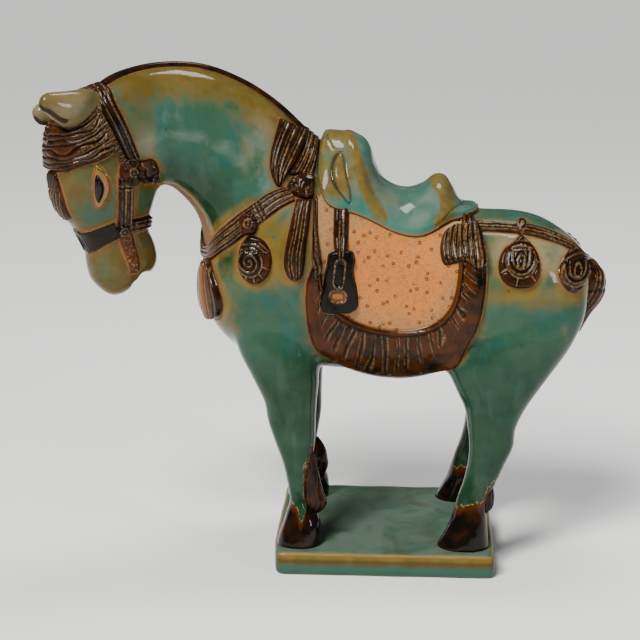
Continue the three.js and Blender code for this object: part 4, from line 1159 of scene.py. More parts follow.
def shape_cloth():
    """The cloth on each side: a stippled panel and a pleated border round it"""
    rows, columns = ((300, 150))
    paths = []
    for line in (CLOTH_CENTRE, CLOTH_INNER, CLOTH_OUTLINE):
        flat = curve(at(line), rows)
        paths.append(np.column_stack([flat[:, 0], angle_at(flat) * GIRTH]))
    centre, inner, outline = paths
    split = int(columns * 0.52)
    grid = np.hstack([spanned(centre, inner, split), spanned(inner, outline, columns - split + 1)[:, 1:]])
    for _ in range(4):
        grid[1:-1, 1:-1] = evened(grid)[1:-1, 1:-1]
    base, out = round_back(grid[..., 0], grid[..., 1] / GIRTH)
    base = fitted(base, out)
    beyond, hand = away(grid, inner)
    beyond = beyond * hand * (1 if hand[rows // 2, -1] > 0 else -1)
    edge = away(grid, outline)[0]
    share = np.clip(np.maximum(beyond, 0) / np.maximum(edge + np.maximum(beyond, 0), 1e-6), 0, 1)
    place = np.linspace(0, 1, rows)[:, None] + 0 * beyond
    phase = place * PLEATS + 0.55 * waver(np.stack([place * 30, share * 1.6], axis=-1), 1.0, 3.0)
    which = np.round(phase)
    far = np.abs(phase - which) * length_of(inner) / PLEATS
    end = 0.58 + 0.14 * np.sin(which * 12.9898 + 1.7)
    runs = ramp(beyond, 2.6, 3.6) * (1 - ramp(share, end - 0.05, end + 0.07))
    panel_relief, border_relief = mm(sizes().cloth_relief), mm(sizes().border_relief)
    pleat, stitch = bell(far, 0.48) * runs, bell(beyond - 3.0, 0.5)
    height = panel_relief + (border_relief - panel_relief) * ramp(beyond, -0.1, 1.2)
    height = height + 0.7 * bell(beyond - 1.6, 1.3) - 0.8 * stitch - 0.8 * pleat
    height = height + 0.5 * runs * np.abs(np.sin(math.pi * phase))
    height = height + 0.8 * bell(share - 0.78, 0.16) * (beyond > 0)
    clay = Clay()
    wrap_piece(clay, base, out, height * (0.2 + 0.8 * ramp(edge, 0.0, 3.0)), edge=edge,
               cut=np.maximum(pleat, 0.95 * stitch), lip=0.6 * bell(far - 0.85, 0.26) * runs,
               tone=0.4 * bell(beyond - 1.4, 1.1), panel=ramp(-beyond, -0.3, 0.4))
    return clay


def shape_stirrups():
    """Leathers that end in a point over a broad black plate with a slot and a window"""
    clay = Clay()
    clothed = forms["clothed"]
    window, slot = curve(at(STIRRUP_WINDOW), 60, closed=True), curve(at(STIRRUP_SLOT), 12)
    centre = disc(STIRRUP_OUTLINE)[1]

    def plate(place, inner):
        flat = place * PART + centre
        within = inside_of(window, flat)
        hole = ramp(within, -0.3, 0.5)
        far = away(flat, slot)[0]
        channel, rim = 1 - ramp(far, 1.8, 2.5), bell(far - 2.9, 0.35)
        dome = 1.3 * bell(place[..., 0] - 0.4, 2.2) * inner
        height = dome - 1.3 * hole - 1.2 * channel - 0.25 * rim
        tan = 2.0 * hole * (1 - 0.8 * bell(within - 1.0, 0.3))
        lip = np.maximum(0.7 * bell(within + 0.4, 0.35), 0.75 * rim * (1 - hole))
        return height, 0.8 * channel * (1 - hole), lip, np.where(tan < 0.4, tan - 1, tan)

    side_disc(clay, clothed, STIRRUP_OUTLINE, mm(sizes().stirrup_relief), plate, margin=0.7, soft=90)
    side_leaf(clay, clothed, *LEATHER_EDGES, 1.8, 2, margin=0.6, wander=0.0, rise=2.6, soft=40)
    return clay


def shape_flaps():
    """A fan of ribs behind the saddle on each side"""
    clay = Clay()
    left, right, ribs, hem = REAR_FLAP
    side_leaf(clay, forms["clothed"], left, right, mm(sizes().hair_relief) + 1.0, ribs, hem=hem, soft=60)
    return clay


def round_boss(place, _):
    """A low dome with six facets and a ring"""
    r = np.linalg.norm(place, axis=-1) * PART
    angle = np.arctan2(place[..., 1], place[..., 0])
    facet = 0.35 * np.cos(6 * angle) * ramp(r, 1.0, 4.0)
    ring = bell(r - 1.5 - 0.3 * np.cos(angle), 0.36)
    height = 1 - ramp(r, 0, 5.5) + facet - 0.5 * ring
    return height, ring, 0.9 * bell(r - 2.4, 0.32) + 0.7 * bell(r - 0.6, 0.35), 0.15


def lumps(place, _):
    """Folded clay, with creases between the folds"""
    folds = np.abs(waver(place * PART * [0.8, 1.5], 7.5, 5.0))
    return 3.0 * folds, bell(folds, 0.035), 0.7 * bell(folds - 0.10, 0.035), 0.0


def poll_strap(clay, body, relief):
    """Over the poll and down to the boss: a twisted cord in front and a broad band behind"""
    base, way, _, along, edge, share = strap_grid(body, on_side(body, *POLL_STRAP), (5.0, 5.7, 6.2, 6.0, 5.2))
    third = base[len(base) // 3]
    place = share if third[-1, 0] < third[0, 0] else -share
    cord = ramp(place, 0.30, 0.36) * ramp(-place, -0.96, -0.90)
    bead = np.abs(np.sin(math.pi * (along + 2.2 * place + 0.6 * waver(base, 4.0, 8.0)) / 2.8))
    band = ramp(-place, -0.20, -0.12) * ramp(place, -0.76, -0.70)
    lines = bell(place + 0.14, 0.05) + bell(place + 0.42, 0.05)
    cut = np.maximum.reduce([bell(place - 0.25, 0.07), 0.85 * cord * bell(bead, 0.3), 0.75 * lines * band])
    lip = bell(place - 0.33, 0.04) + 0.8 * bell(place + 0.52, 0.04) + 0.6 * bell(place + 0.04, 0.035)
    lip = np.maximum(lip, 0.7 * cord * bell(bead - 0.6, 0.2))
    height = relief * (0.3 + 0.8 * cord * (0.6 + 0.4 * bead) + 0.75 * band) - 0.6 * cut
    height = raised(edge, 0.9, 0.7, 0.9) + height * ramp(edge, 0.4, 1.2)
    wrap_piece(clay, base, way, height, edge=np.where(place < -0.80, np.minimum(edge, 0.8), edge), cut=cut, lip=lip)


def shape_bridle():
    """The straps of the bridle, with its bow and bosses"""
    clay = Clay()
    body = forms["bald"]
    relief = mm(sizes().strap_relief)
    poll_strap(clay, body, relief)
    ribbed_strap(clay, body, on_side(body, CHEEK_STRAP), (4.2, 4.0), relief + 0.3, 3, (False, False), ties=(7.0,),
                 tie_depth=0.6)
    base, way, _, _, edge, _ = strap_grid(body, on_side(body, *NOSEBAND), (4.4, 4.9, 5.6, 6.0))
    wrap_piece(clay, base, way, raised(edge, 0.9, 0.8), edge=edge, tone=-0.4)
    ribbed_strap(clay, body, on_side(body, *CHIN_STRAP), (3.4, 3.4), relief, 3, pitch=4.2)
    # the strap down to the bit, roughened like bare clay
    base, way, _, _, edge, _ = strap_grid(body, on_side(body, BIT_STRAP), (3.6, 3.3, 3.0, 2.6), (True, False))
    dots = waver(base, 0.9, 2.0)
    inner = ramp(edge, 0.5, 1.2)
    wrap_piece(clay, base, way, raised(edge, 0.8, 0.6) + 0.35 * ramp(dots, 0.1, 0.4) * inner, edge=edge,
               lip=0.75 * ramp(dots, 0.15, 0.4) * inner, tone=0.75)
    side_disc(clay, body, KNOT_BOW, 3.0, lumps)
    for outline, height in BRIDLE_BOSSES:
        side_disc(clay, body, outline, height, round_boss, margin=0.7)
    return clay


def shell(centre, neck, rays, coiling):
    """A banded neck, a shell of a coil or of nested arcs below it and rays round the shell"""
    def detail(place, _):
        x, z = place[..., 0] * PART - centre[0], place[..., 1] * PART - centre[1]
        r, angle = np.hypot(x, z), np.arctan2(z, -x)
        turn = r / 3.1 - angle / (2 * math.pi)
        coil = np.abs(turn - np.round(turn)) * 3.1
        if not coiling:
            arch = np.hypot(x, np.minimum(z - 1.0, 0))
            coil = np.minimum.reduce([np.abs(arch - 4.6), np.abs(arch - 7.2), np.abs(np.hypot(x, 0.6 * z) - 1.9)])
        coiled = ramp(-r, -7.9, -7.2) * ramp(-z, -5.8, -4.8)
        bands = np.abs(((z - 6.2 + 0.04 * x * x) / 2.6) % 1.0 - 0.5) * 2.6
        banded = ramp(z, 5.6, 6.2) * ramp(-z, -neck, -neck + 0.8)
        spread = np.abs((angle * rays / (2 * math.pi)) % 1.0 - 0.5) * r * 2 * math.pi / rays
        rayed = ramp(r, 7.6, 8.2) * ramp(-z, -2.5, -0.5)
        line = np.minimum.reduce([coil + 9 * (1 - coiled), bands + 9 * (1 - banded), spread + 9 * (1 - rayed)])
        line = np.minimum(line, np.abs(r - 8.0) + 9 * (z > 4.5))
        lip = 0.85 * bell(line, 0.34)
        cut = bell(line - 0.85, 0.38)
        return 0.4 * lip - 0.5 * cut + 0.8 * coiled, cut, lip, 0.22 - 0.2 * coiled
    return detail


def shape_breast_harness():
    """The breast strap, a boss and a pendant on each side and a pendant in the middle of the chest"""
    clay = Clay()
    body = forms["body"]
    relief, pendant = mm(sizes().strap_relief), mm(sizes().pendant_relief)
    ribbed_strap(clay, body, on_side(body, *BREAST_STRAP), (3.8, 4.7, 4.8, 4.9, 4.6, 3.8, 3.2), relief, 4,
                 inside=(0.7, 1.6), ties=(22.0, 24.6), bare=(58.0, 78.0), wander=0.2)
    side_disc(clay, body, BREAST_PENDANT[0], pendant, shell(BREAST_PENDANT[1], 12.0, 12, True))
    side_disc(clay, body, BREAST_BOSS, pendant, round_boss, margin=0.7)
    grid = between(*CHEST_PENDANT, rows=counted(length_of(at(CHEST_PENDANT[0]))))
    base, way = body.around(grid, *CHEST_ROUND)
    edge = rim_of(grid)
    place, down, width = over(grid)
    ridge, cut, lip = corded(place, down, 6, width)
    inner = ramp(edge, 1.0, 2.0)
    crown, binding = 1.4 * bell(place + 0.05, 0.35), bell((down - 0.10) * 30, 0.7)
    wrap_piece(clay, base, way, raised(edge, pendant, 1.0) + (ridge + crown - 0.6 * binding) * inner, both=False,
               edge=edge, cut=np.maximum(cut * 0.9, binding) * inner, lip=lip * inner,
               tone=1.5 * ramp(place, -0.8, -0.2) + 0.1)
    return clay


def shape_crupper():
    """The strap round the rump, a little lower on the right side, with its boss and pendants"""
    clay = Clay()
    body = forms["body"]
    relief, pendant = mm(sizes().strap_relief), mm(sizes().pendant_relief)
    for drop, hand in ((0.0, 1), (CRUPPER_DROP, -1)):
        path = on_side(body, np.array(CRUPPER_STRAP) - [0.0, drop], CRUPPER_END) * [1, hand, 1]
        ribbed_strap(clay, body, path, (3.6, 3.8, 3.9, 3.7, 3.0, 2.4), relief, 4, inside=(0.8, 1.8), both=False,
                     wander=0.15)
    for outline, centre in CRUPPER_PENDANTS:
        side_disc(clay, body, outline, pendant, shell(centre, 11.0, 7, False))
    side_disc(clay, body, CRUPPER_BOSS, relief + 1.0, round_boss, margin=0.7, both=False)
    return clay


def shape_mane():
    """The clipped ridge along the crest, and the locks, knot and bands at the withers"""
    clay = Clay()
    rows = smooth_rows(NECK, 240)
    crest = at(rows[:, :2])
    up = rows[:, :2] - rows[:, 2:4]
    up /= np.linalg.norm(up, axis=1)[:, None]
    angle = np.linspace(0, 2 * math.pi, 40, endpoint=False)
    wide, tall = MANE_HALF_WIDTH * PART, MANE_RISE * PART
    rings = []
    for (x, z), (ux, uz), share in zip(crest, up, np.linspace(0, 1, len(crest))):
        size = 0.35 + 0.65 * ramp(share, 0.0, 0.10) * ramp(1 - share, 0.0, 0.03)
        out = powered(np.cos(angle), 0.7) * tall * size
        side = powered(np.sin(angle), 0.7) * wide * size
        rings.append(np.column_stack([x + ux * out, side, z + uz * out]))
    low = np.clip(1.6 - 2.4 * (np.cos(angle) + 0.45), 0, 4)
    clay.wrap(np.array(rings), edge=4.0 - low[None, :], cut=0.5 * bell(np.sin(angle), 0.08)[None, :])
    laid_pieces.append(np.array(rings)[::2].reshape(-1, 3))
    clothed = forms["clothed"]
    relief = mm(sizes().hair_relief)
    for left, right, ribs, bend in LOCKS:
        side_leaf(clay, clothed, left, right, relief, ribs, bend=bend, soft=30)
    side_disc(clay, clothed, WITHERS_KNOT, relief + 1.2, lumps, soft=40)
    return clay


def shape_forelock():
    """Hair combed forward over the brow, and a bound lock with a row of beads below it"""
    clay = Clay()
    body = forms["bald"]
    rows, columns = 210, 72
    x, radius, _ = BROW_ROUND
    edges = []
    for line, front in zip(FORELOCK_EDGES, FORELOCK_FRONT):
        hits = body.beside(curve(at(line), 60))[0]
        turn = np.arctan2(-hits[:, 1], -(hits[:, 0] - x * PART))
        half = np.vstack([np.column_stack([turn * radius, hits[:, 2]]), at([(0.0, front)])])
        half = curve(half, rows // 2)
        edges.append(np.vstack([half, half[-2::-1] * [-1, 1]]))
    grid = spanned(*edges, columns)
    base, way = body.around(grid, *BROW_ROUND)
    place, down, width = over(grid)
    sweep = np.abs(2 * down - 1)
    along = down * length_of(grid[:, columns // 2])
    ridge, cut, lip = corded(place, along, 10, width, wander=0.85)
    worn = 1 - 0.65 * ramp(place, 0.35, 0.6) * ramp(-sweep, -0.75, -0.5)
    edge = (1 - np.abs(place)) * 11.0
    inner = ramp(edge, 0.8, 1.8)
    roots = ramp(sweep, 0.45, 0.9)
    tangle = waver(np.stack([along / 3.5, place * 5], axis=-1), 1.0, 9.0)
    lip = np.maximum(lip, 0.8 * bell(tangle, 0.09) * roots)
    wrap_piece(clay, base, way, raised(edge, mm(sizes().hair_relief), 0.9) + 1.4 * ridge * worn * inner, both=False,
               edge=edge, cut=cut * worn * inner, lip=lip * inner * (0.15 + 0.85 * roots), tone=0.22 - 0.6 * roots)
    grid, centre = disc(FRONTLET)
    origins = np.stack([np.full(grid.shape[:2], -130 * PART), grid[..., 0], grid[..., 1]], axis=-1)
    ways = np.broadcast_to([1.0, 0.0, 0.0], origins.shape)
    base, way = body.cast(origins, ways, origins * [0, 1, 1] + [-70 * PART, 0, 0])
    edge = rim_of(grid)
    inner = ramp(edge, 0.8, 1.8)
    y, z = np.moveaxis((grid - centre) / PART, -1, 0)
    beads = np.abs(np.sin(math.pi * (y + 0.4 * z))) ** 0.6
    beaded = ramp(z, 1.0, 1.4)
    lock, cut, lip = corded(np.clip(y / 2.9 + 0.12 * z, -1, 1), z * PART, 5, 5.6 * PART)
    height = (beaded * 0.9 * beads + (1 - beaded) * (lock + 0.4)) - 0.8 * bell(z - 1.2, 0.14)
    wrap_piece(clay, base, way, raised(edge, 0.8, 0.8) + height * inner, both=False, edge=edge,
               cut=np.maximum(beaded * bell(beads, 0.35), (1 - beaded) * cut) * inner,
               lip=(1 - beaded) * lip * inner, tone=0.25)
    return clay


def shape_eyes():
    """A lid with a line in it, and the ball between"""
    clay = Clay()
    pupil, arc = curve(at(EYE_PUPIL), 80, closed=True), curve(at(EYE_ARC), 40)
    step = 0.4
    centre = disc(EYE_LID, step)[1]

    def eye(place, _):
        flat = place * PART + centre
        within = inside_of(pupil, flat)
        ball, line = ramp(within, -0.2, 0.4), bell(away(flat, arc)[0], 0.45)
        height = 1.4 * ramp(within, 0.3, 2.2) - 0.8 * ball - 0.5 * line
        return height, np.maximum(ball, 0.8 * line), 0.0, 0.0

    side_disc(clay, forms["body"], EYE_LID, 1.3, eye, margin=0.4, step=step)
    return clay


def round_out(facets):
    """The angles of a section's points, from the front by the right side, and their way out"""
    angle = np.linspace(0, 2 * math.pi, facets, endpoint=False)
    return angle, np.column_stack([-np.cos(angle), np.sin(angle), 0 * angle])


def shape_feathering():
    """A tuft of strands behind each fetlock"""
    clay = Clay()
    angle, out = round_out(72)
    for side, inside, centre, rows in TUFTS:
        rings, cuts = [], []
        for z, back, half in smooth_rows(rows, 70):
            ring = section(at((inside, z)), at((back, z)), half * PART, centre=side * centre * PART, facets=72)
            strand = np.abs(np.sin(6 * (angle + 0.07 * z) + 0.5 * np.sin(0.9 * z)))
            rings.append(ring + out * (0.5 * strand - 0.35)[:, None])
            cuts.append(0.9 * bell(strand, 0.32))
        clay.wrap(np.array(rings), edge=3.0, cut=np.array(cuts))
        tufts.append(np.array(rings)[::4, ::3].reshape(-1, 3))
    return clay


def shape_tail():
    """A bun of strands, tied twice"""
    clay = Clay()
    angle, out = round_out(96)
    rings, cuts, lips = [], [], []
    for z, front, back, half in smooth_rows(TAIL, 110):
        ring = section(at((front, z)), at((back, z)), half * PART, facets=96)
        tied = bell(z - 57.0, 0.7) + bell(z - 52.6, 0.5)
        strand = np.abs(np.sin(4.0 * (angle + 0.10 * (z - 50))))
        rings.append(ring + out * (0.6 * strand - 0.4 - 0.6 * tied)[:, None])
        cuts.append(np.maximum(bell(strand, 0.26), 0.8 * tied))
        lips.append(0.8 * bell(strand - 0.55, 0.14))
    clay.wrap(np.array(rings), edge=3.0, cut=np.array(cuts), lip=np.array(lips), tone=0.45)
    laid_pieces.append(np.array(rings)[::4, ::3].reshape(-1, 3))
    return clay


def shape_plinth():
    """A slab with rounded corners and edges, worn a little out of true"""
    s = sizes()
    length, depth, tall = mm(s.plinth_length), mm(s.plinth_depth), mm(s.plinth_height)
    bm = bmesh.new()
    bmesh.ops.create_cube(bm, size=1)
    bmesh.ops.scale(bm, vec=(length, depth, tall), verts=bm.verts[:])
    bmesh.ops.translate(bm, vec=(0, 0, tall / 2), verts=bm.verts[:])
    upright = [e for e in bm.edges if abs(e.verts[0].co.z - e.verts[1].co.z) > tall / 2]
    bmesh.ops.bevel(
        bm, geom=upright, offset=mm(s.plinth_corner), affect="EDGES", segments=8, profile=0.5, material=-1
    )
    level = [e for e in bm.edges if abs(e.verts[0].co.z - e.verts[1].co.z) < 1e-3 and e.calc_face_angle(0) > 0.8]
    bmesh.ops.bevel(bm, geom=level, offset=mm(s.plinth_edge), affect="EDGES", segments=5, profile=0.5, material=-1)
    mesh = bpy.data.meshes.new("plinth")
    bm.to_mesh(mesh)
    bm.free()
    mesh = fused(mesh, PLINTH_VOXEL)
    points = smoothed(mesh, points_of(mesh), 0.4, 3)
    x, y, z = points.T
    points[:, 0] += ramp(-x, 40, 66) * ramp(-y, 34, 56) * 1.6
    uneven = waver(points, 24.0, 11.0)
    points[:, 2] += 0.5 * uneven * ramp(z, 8, 13)
    points[:, 1] += 0.5 * uneven * ramp(np.abs(y), 50, 60) * np.sign(y)
    points[:, 0] += 0.4 * uneven * ramp(np.abs(x), 55, 64) * np.sign(x)
    points[:, 2] = np.where(points[:, 2] < 0.6, 0.0, points[:, 2])
    set_points(mesh, points)
    return mesh


# Finishes

def colours():
    """The glazes' colours"""
    return bpy.context.scene.horse_glazes


def brown_glaze(name):
    """The tack and the hair: brown glaze, black where it is thick and tan along the edges"""
    g, c = Glaze(name), colours()
    edge, cut, lip, tone = g.marks("edge", "cut", "lip", "tone")
    cloud, fine = g.clouds(9, 3.0, 0.6), g.clouds(1.6, 2.0)
    broken = fine.above(0.34, 0.62)
    colour = g.mix(c.black, c.brown, cloud.above(0.30, 0.62))
    colour = g.mix(colour, c.amber, (tone * 0.9 + cloud.sway(0.9)).clamped())
    colour = g.mix(colour, c.black, (tone * -1.0).clamped())
    colour = g.mix(colour, c.tan, (tone - 1.0).clamped() * 0.9)
    # Cream beside the grooves: glaze broken on the edges, and painted sheen on the ridges
    worn = (lip * (broken * 0.8 + 0.1) * (cloud * 1.1 + 0.35)).clamped()
    colour = g.mix(colour, g.mix(c.cream, c.tan, 0.25), worn)
    colour = g.mix(colour, c.black, cut * 0.92)
    margin = (edge + fine.sway(0.9) + cloud.sway(0.8)).above(0.95, 0.45)
    rim = g.mix(g.mix(c.tan, c.amber, (cloud * 1.4 - 0.3).clamped()), c.cream, (tone * -0.7).clamped())
    colour = g.mix(colour, rim, margin * (broken * 0.35 + 0.6))
    return g.finish(colour, 0.09 + 0.18 * margin + 0.10 * lip, fine * 0.35 + cloud * 0.5, 0.35, 0.02)


def eye_glaze(name):
    """Golden lids round black"""
    g, c = Glaze(name), colours()
    edge, cut = g.marks("edge", "cut")
    cloud = g.clouds(5, 2.0)
    colour = g.mix(g.mix(c.ochre, c.tan, cloud.above(0.35, 0.65)), c.black, cut.above(0.35, 0.6))
    colour = g.mix(colour, c.amber, edge.above(0.8, 0.3) * 0.7)
    return g.finish(colour, 0.12, cloud, 0.1, 0.25)


def cloth_glaze(name):
    """The stippled tan panel and the brown pleats round it"""
    g, c = Glaze(name), colours()
    edge, cut, lip, panel, tone = g.marks("edge", "cut", "lip", "panel", "tone")
    cloud, fine = g.clouds(14, 3.0, 0.5), g.clouds(1.8, 2.0)
    brown = g.mix(c.black, c.brown, cloud.above(0.25, 0.5))
    brown = g.mix(brown, c.amber, (cloud.above(0.38, 0.68) * 0.6 + tone * 0.7).clamped())
    # Cream beside the pleats: broken glaze, and painted sheen
    brown = g.mix(brown, c.cream, (lip * (fine.above(0.30, 0.62) * 0.8 + 0.1) * (cloud + 0.3)).clamped())
    brown = g.mix(brown, c.black, cut * 0.92)
    pits = g.rings(7.4, 0.16) * fine.above(0.32, 0.50)
    middle = g.distance(PANEL_MIDDLE).above(0.045, 0.018)
    tan = g.mix(c.panel_edge, c.panel, (middle + cloud.sway(1.3) + fine.sway(0.5)).clamped())
    tan = g.mix(tan, c.tan, g.clouds(1.3, 3.0).above(0.45, 0.66) * 0.6)
    tan = g.mix(tan, c.pale_teal, fine.above(0.48, 0.30) * 0.25)
    tan = g.mix(tan, c.amber, (pits * 0.95).clamped())
    colour = g.mix(brown, tan, panel)
    margin = (edge + fine.sway(0.9)).above(1.1, 0.5)
    colour = g.mix(colour, c.tan, margin * 0.7)
    return g.finish(colour, 0.10 + 0.25 * panel + 0.1 * margin, cloud * 0.4 + fine * 0.3 - pits, 0.45, 0.02)


def saddle_glaze(name):
    """Pale green with gold over its ridges, brightest along its lower edge"""
    g, c = Glaze(name), colours()
    edge, cut, tone = g.marks("edge", "cut", "tone")
    cloud, fine, small = g.clouds(22, 4.0, 0.8), g.clouds(4, 3.0), g.clouds(1.6, 2.0)
    teal = g.mix(c.blue, c.pale_teal, cloud.above(0.32, 0.68) * 0.65 + 0.14)
    teal = g.mix(teal, c.ochre, g.clouds(34, 3.0).above(0.48, 0.66) * 0.22)
    teal = g.mix(teal, c.bright_teal, (edge + fine.sway(6.0)).above(8.0, 1.0) * 0.6)
    gold = g.mix(c.ochre, c.dark_ochre, (fine * 1.6 + cloud * 1.2 - 1.0).clamped() * 0.8)
    share = (tone * 1.15 + cloud.sway(1.5) + fine.sway(0.7)).above(0.32, 0.92)
    colour = g.mix(teal, gold, share * 0.85)
    colour = g.mix(colour, c.black, cut * 0.8)
    colour = g.mix(colour, c.tan, (edge + small.sway(0.9)).above(1.2, 0.6) * 0.9)
    colour = g.mix(colour, c.brown, edge.above(0.5, 0.1) * 0.8)
    return g.finish(colour, 0.07 + 0.05 * fine, cloud * 0.8 + fine * 0.2, 0.3, 0.08)


def body_glaze(name):
    """Copper green with ochre clouds, tan lines beside the tack and brown-black hooves; painted shade low on the body
    and in the ears, painted sheen on the neck and the ear
    """
    g, c = Glaze(name), colours()
    near, warm, hoof, thick, pale_and_sheen, dark, slot = g.marks("near", "warm", "hoof", "thick", "pale_and_sheen", "dark", "slot")
    broad, cloud, fine, small = g.clouds(60, 4.0, 0.8), g.clouds(18, 4.0, 1.0), g.clouds(4, 3.0), g.clouds(1.6, 2.0)
    brush, runs = g.clouds(9, 3.0, 0.3, (0.35, 1.0, 1.0)), g.clouds(3.2, 2.0, 0.0, (1.0, 1.0, 0.22))
    # Deep teal where the glaze is thick, and painted shade low on the body and along the throat
    depth = (thick + broad.sway(1.3) + cloud.sway(0.8) + brush.sway(0.7)).clamped()
    teal = g.mix(g.mix(c.teal, c.blue, cloud.above(0.45, 0.62)), c.deep_teal, depth)
    # Milky glaze, and painted sheen on the neck and the ear
    milky = (pale_and_sheen + cloud.sway(1.1) + brush.sway(0.5)).above(0.45, 1.0)
    teal = g.mix(teal, c.pale_teal, (milky - thick * 0.7).clamped() * 0.85)
    streak = (g.clouds(7, 3.0, 0.4, (1.0, 1.0, 0.3)) + cloud.sway(0.8)).above(0.46, 0.80)
    teal = g.mix(teal, c.pale_teal, streak * 0.12)
    teal = g.mix(teal, c.deep_teal, (broad * 0.6 + cloud * 0.6).above(0.56, 0.40) * 0.45)
    halo = (near + cloud.sway(10.0)).above(5.5, 0.8) * (broad.above(0.35, 0.6) * 0.5 + 0.25)
    gold = warm + broad.sway(0.9) + cloud.sway(1.3) + fine.sway(0.4) + runs.sway(0.3)
    deep = (cloud * 1.5 - 0.42 + dark + fine.sway(0.5)).clamped()
    olive = g.mix(c.ochre, c.dark_ochre, deep * 0.8)
    # Milky teal and cream over the ochre: thin glaze, and a painted highlight on the ear
    thin = g.mix(c.pale_teal, c.cream, (warm * 2.0 - 1.0).clamped() * 0.65)
    olive = g.mix(olive, thin, (pale_and_sheen * 0.8 + brush.sway(0.5)).clamped())
    colour = g.mix(teal, olive, (halo + gold.above(0.28, 1.05)).clamped() * 0.92)
    line = (near + small.sway(1.3) + cloud.sway(1.2)).above(1.00, 0.50)
    colour = g.mix(colour, g.mix(c.tan, c.amber, (cloud * 1.5 - 0.5).clamped()), line * 0.85)
    foot = hoof + runs.sway(9.0) + cloud.sway(3.0)
    colour = g.mix(colour, c.cream, foot.above(-1.0, -0.3) * small.above(0.40, 0.60) * 0.6)
    colour = g.mix(colour, g.mix(c.amber, c.brown, small), foot.above(-0.3, 0.6))
    colour = g.mix(colour, g.mix(c.black, c.brown, cloud.above(0.45, 0.65)), foot.above(1.2, 6.5))
    colour = g.mix(colour, c.brown, g.specks(11, 0.10) * 0.5)
    # Painted shade: brown inside the left ear's fold and under the right ear
    slot = slot.above(0.25, 0.7)
    colour = g.mix(colour, c.brown, slot * 0.95)
    roughness = 0.07 + 0.05 * fine + 0.75 * line + 0.6 * slot
    return g.finish(colour, roughness, broad * 1.2 + cloud * 0.7 + fine * 0.12, 0.35, 0.06)


def plinth_glaze(name):
    """Green over the top and the foot, olive along the rim, running down the sides"""
    g, c = Glaze(name), colours()
    x, y, z = (g.axis(axis) * 1000.0 for axis in "XYZ")
    cloud, fine = g.clouds(20, 4.0, 0.8), g.clouds(4, 3.0)
    runs = g.clouds(12, 2.0, 0.0, (1.0, 1.0, 0.15))
    green = g.mix(g.mix(c.teal, c.pale_teal, 0.62), c.teal, cloud.above(0.40, 0.72) * 0.6)
    green = g.mix(green, c.dark_ochre, g.clouds(30, 4.0, 1.5).above(0.50, 0.74) * 0.4)
    green = g.mix(green, c.deep_teal, z.above(7.0, 2.0) * cloud.above(0.35, 0.7) * 0.6)
    green = g.mix(green, g.mix(c.teal, c.blue, runs), z.above(9.0, 6.0) * 0.9)
    sides = (y.above(-58.0, -59.2) + y.above(58.0, 59.2) + x.above(-62.4, -63.6) + x.above(62.4, 63.6)).clamped()
    rim = (z + runs.sway(4.0)).above(5.0, 8.4) * sides
    gold = g.mix(c.ochre, c.dark_ochre, (runs * 1.6 - 0.55 + z.above(11.4, 8.8) * 0.9).clamped() * 0.9)
    # Painted highlight: cream along the rim's top edge
    gold = g.mix(gold, c.cream, (z + runs.sway(2.5)).above(12.0, 13.4) * 0.4)
    colour = g.mix(green, gold, rim * 0.95)
    colour = g.mix(colour, c.tan, (z + (fine - 0.5)).above(1.2, 0.4) * 0.5)
    return g.finish(colour, 0.26 + 0.12 * fine, cloud + fine * 0.2, 0.4, 0.05)


FINISHES = {
    "harness glaze": brown_glaze, "hair glaze": brown_glaze, "eye glaze": eye_glaze, "cloth glaze": cloth_glaze,
    "saddle glaze": saddle_glaze, "body glaze": body_glaze, "plinth glaze": plinth_glaze,
}


def finish(name):
    """A glaze, made when it is first asked for"""
    return bpy.data.materials.get(name) or FINISHES[name](name)


def soft_box(x, z, left, right, low, high, soft=3.5):
    """1 inside a box seen from the side, fading out over soft hundredths"""
    across = ramp(x, left - soft, left + soft) * ramp(-x, -right - soft, -right + soft)
    return across * ramp(z, low - soft, low + soft) * ramp(-z, -high - soft, -high + soft)


def boxed(x, z, boxes):
    """The greatest share that soft boxes give to places"""
    return np.max([share * soft_box(x, z, *box) for share, box in boxes], axis=0)


def ear_line(table, part, out, up):
    """A line along part of an ear, moved from its middle by shares of its half thickness and half height"""
    x, top, low, thick, y = (smooth_rows(table, 60)[part] * PART).T
    return np.column_stack([x, y + out * thick, PLINTH_TOP + (top + low) / 2 + up * (top - low) / 2])


def tree_of(groups):
    """Groups of points, ready to be searched for the nearest"""
    points = np.vstack(groups)
    tree = KDTree(len(points))
    for i, p in enumerate(points):
        tree.insert(p, i)
    tree.balance()
    return tree


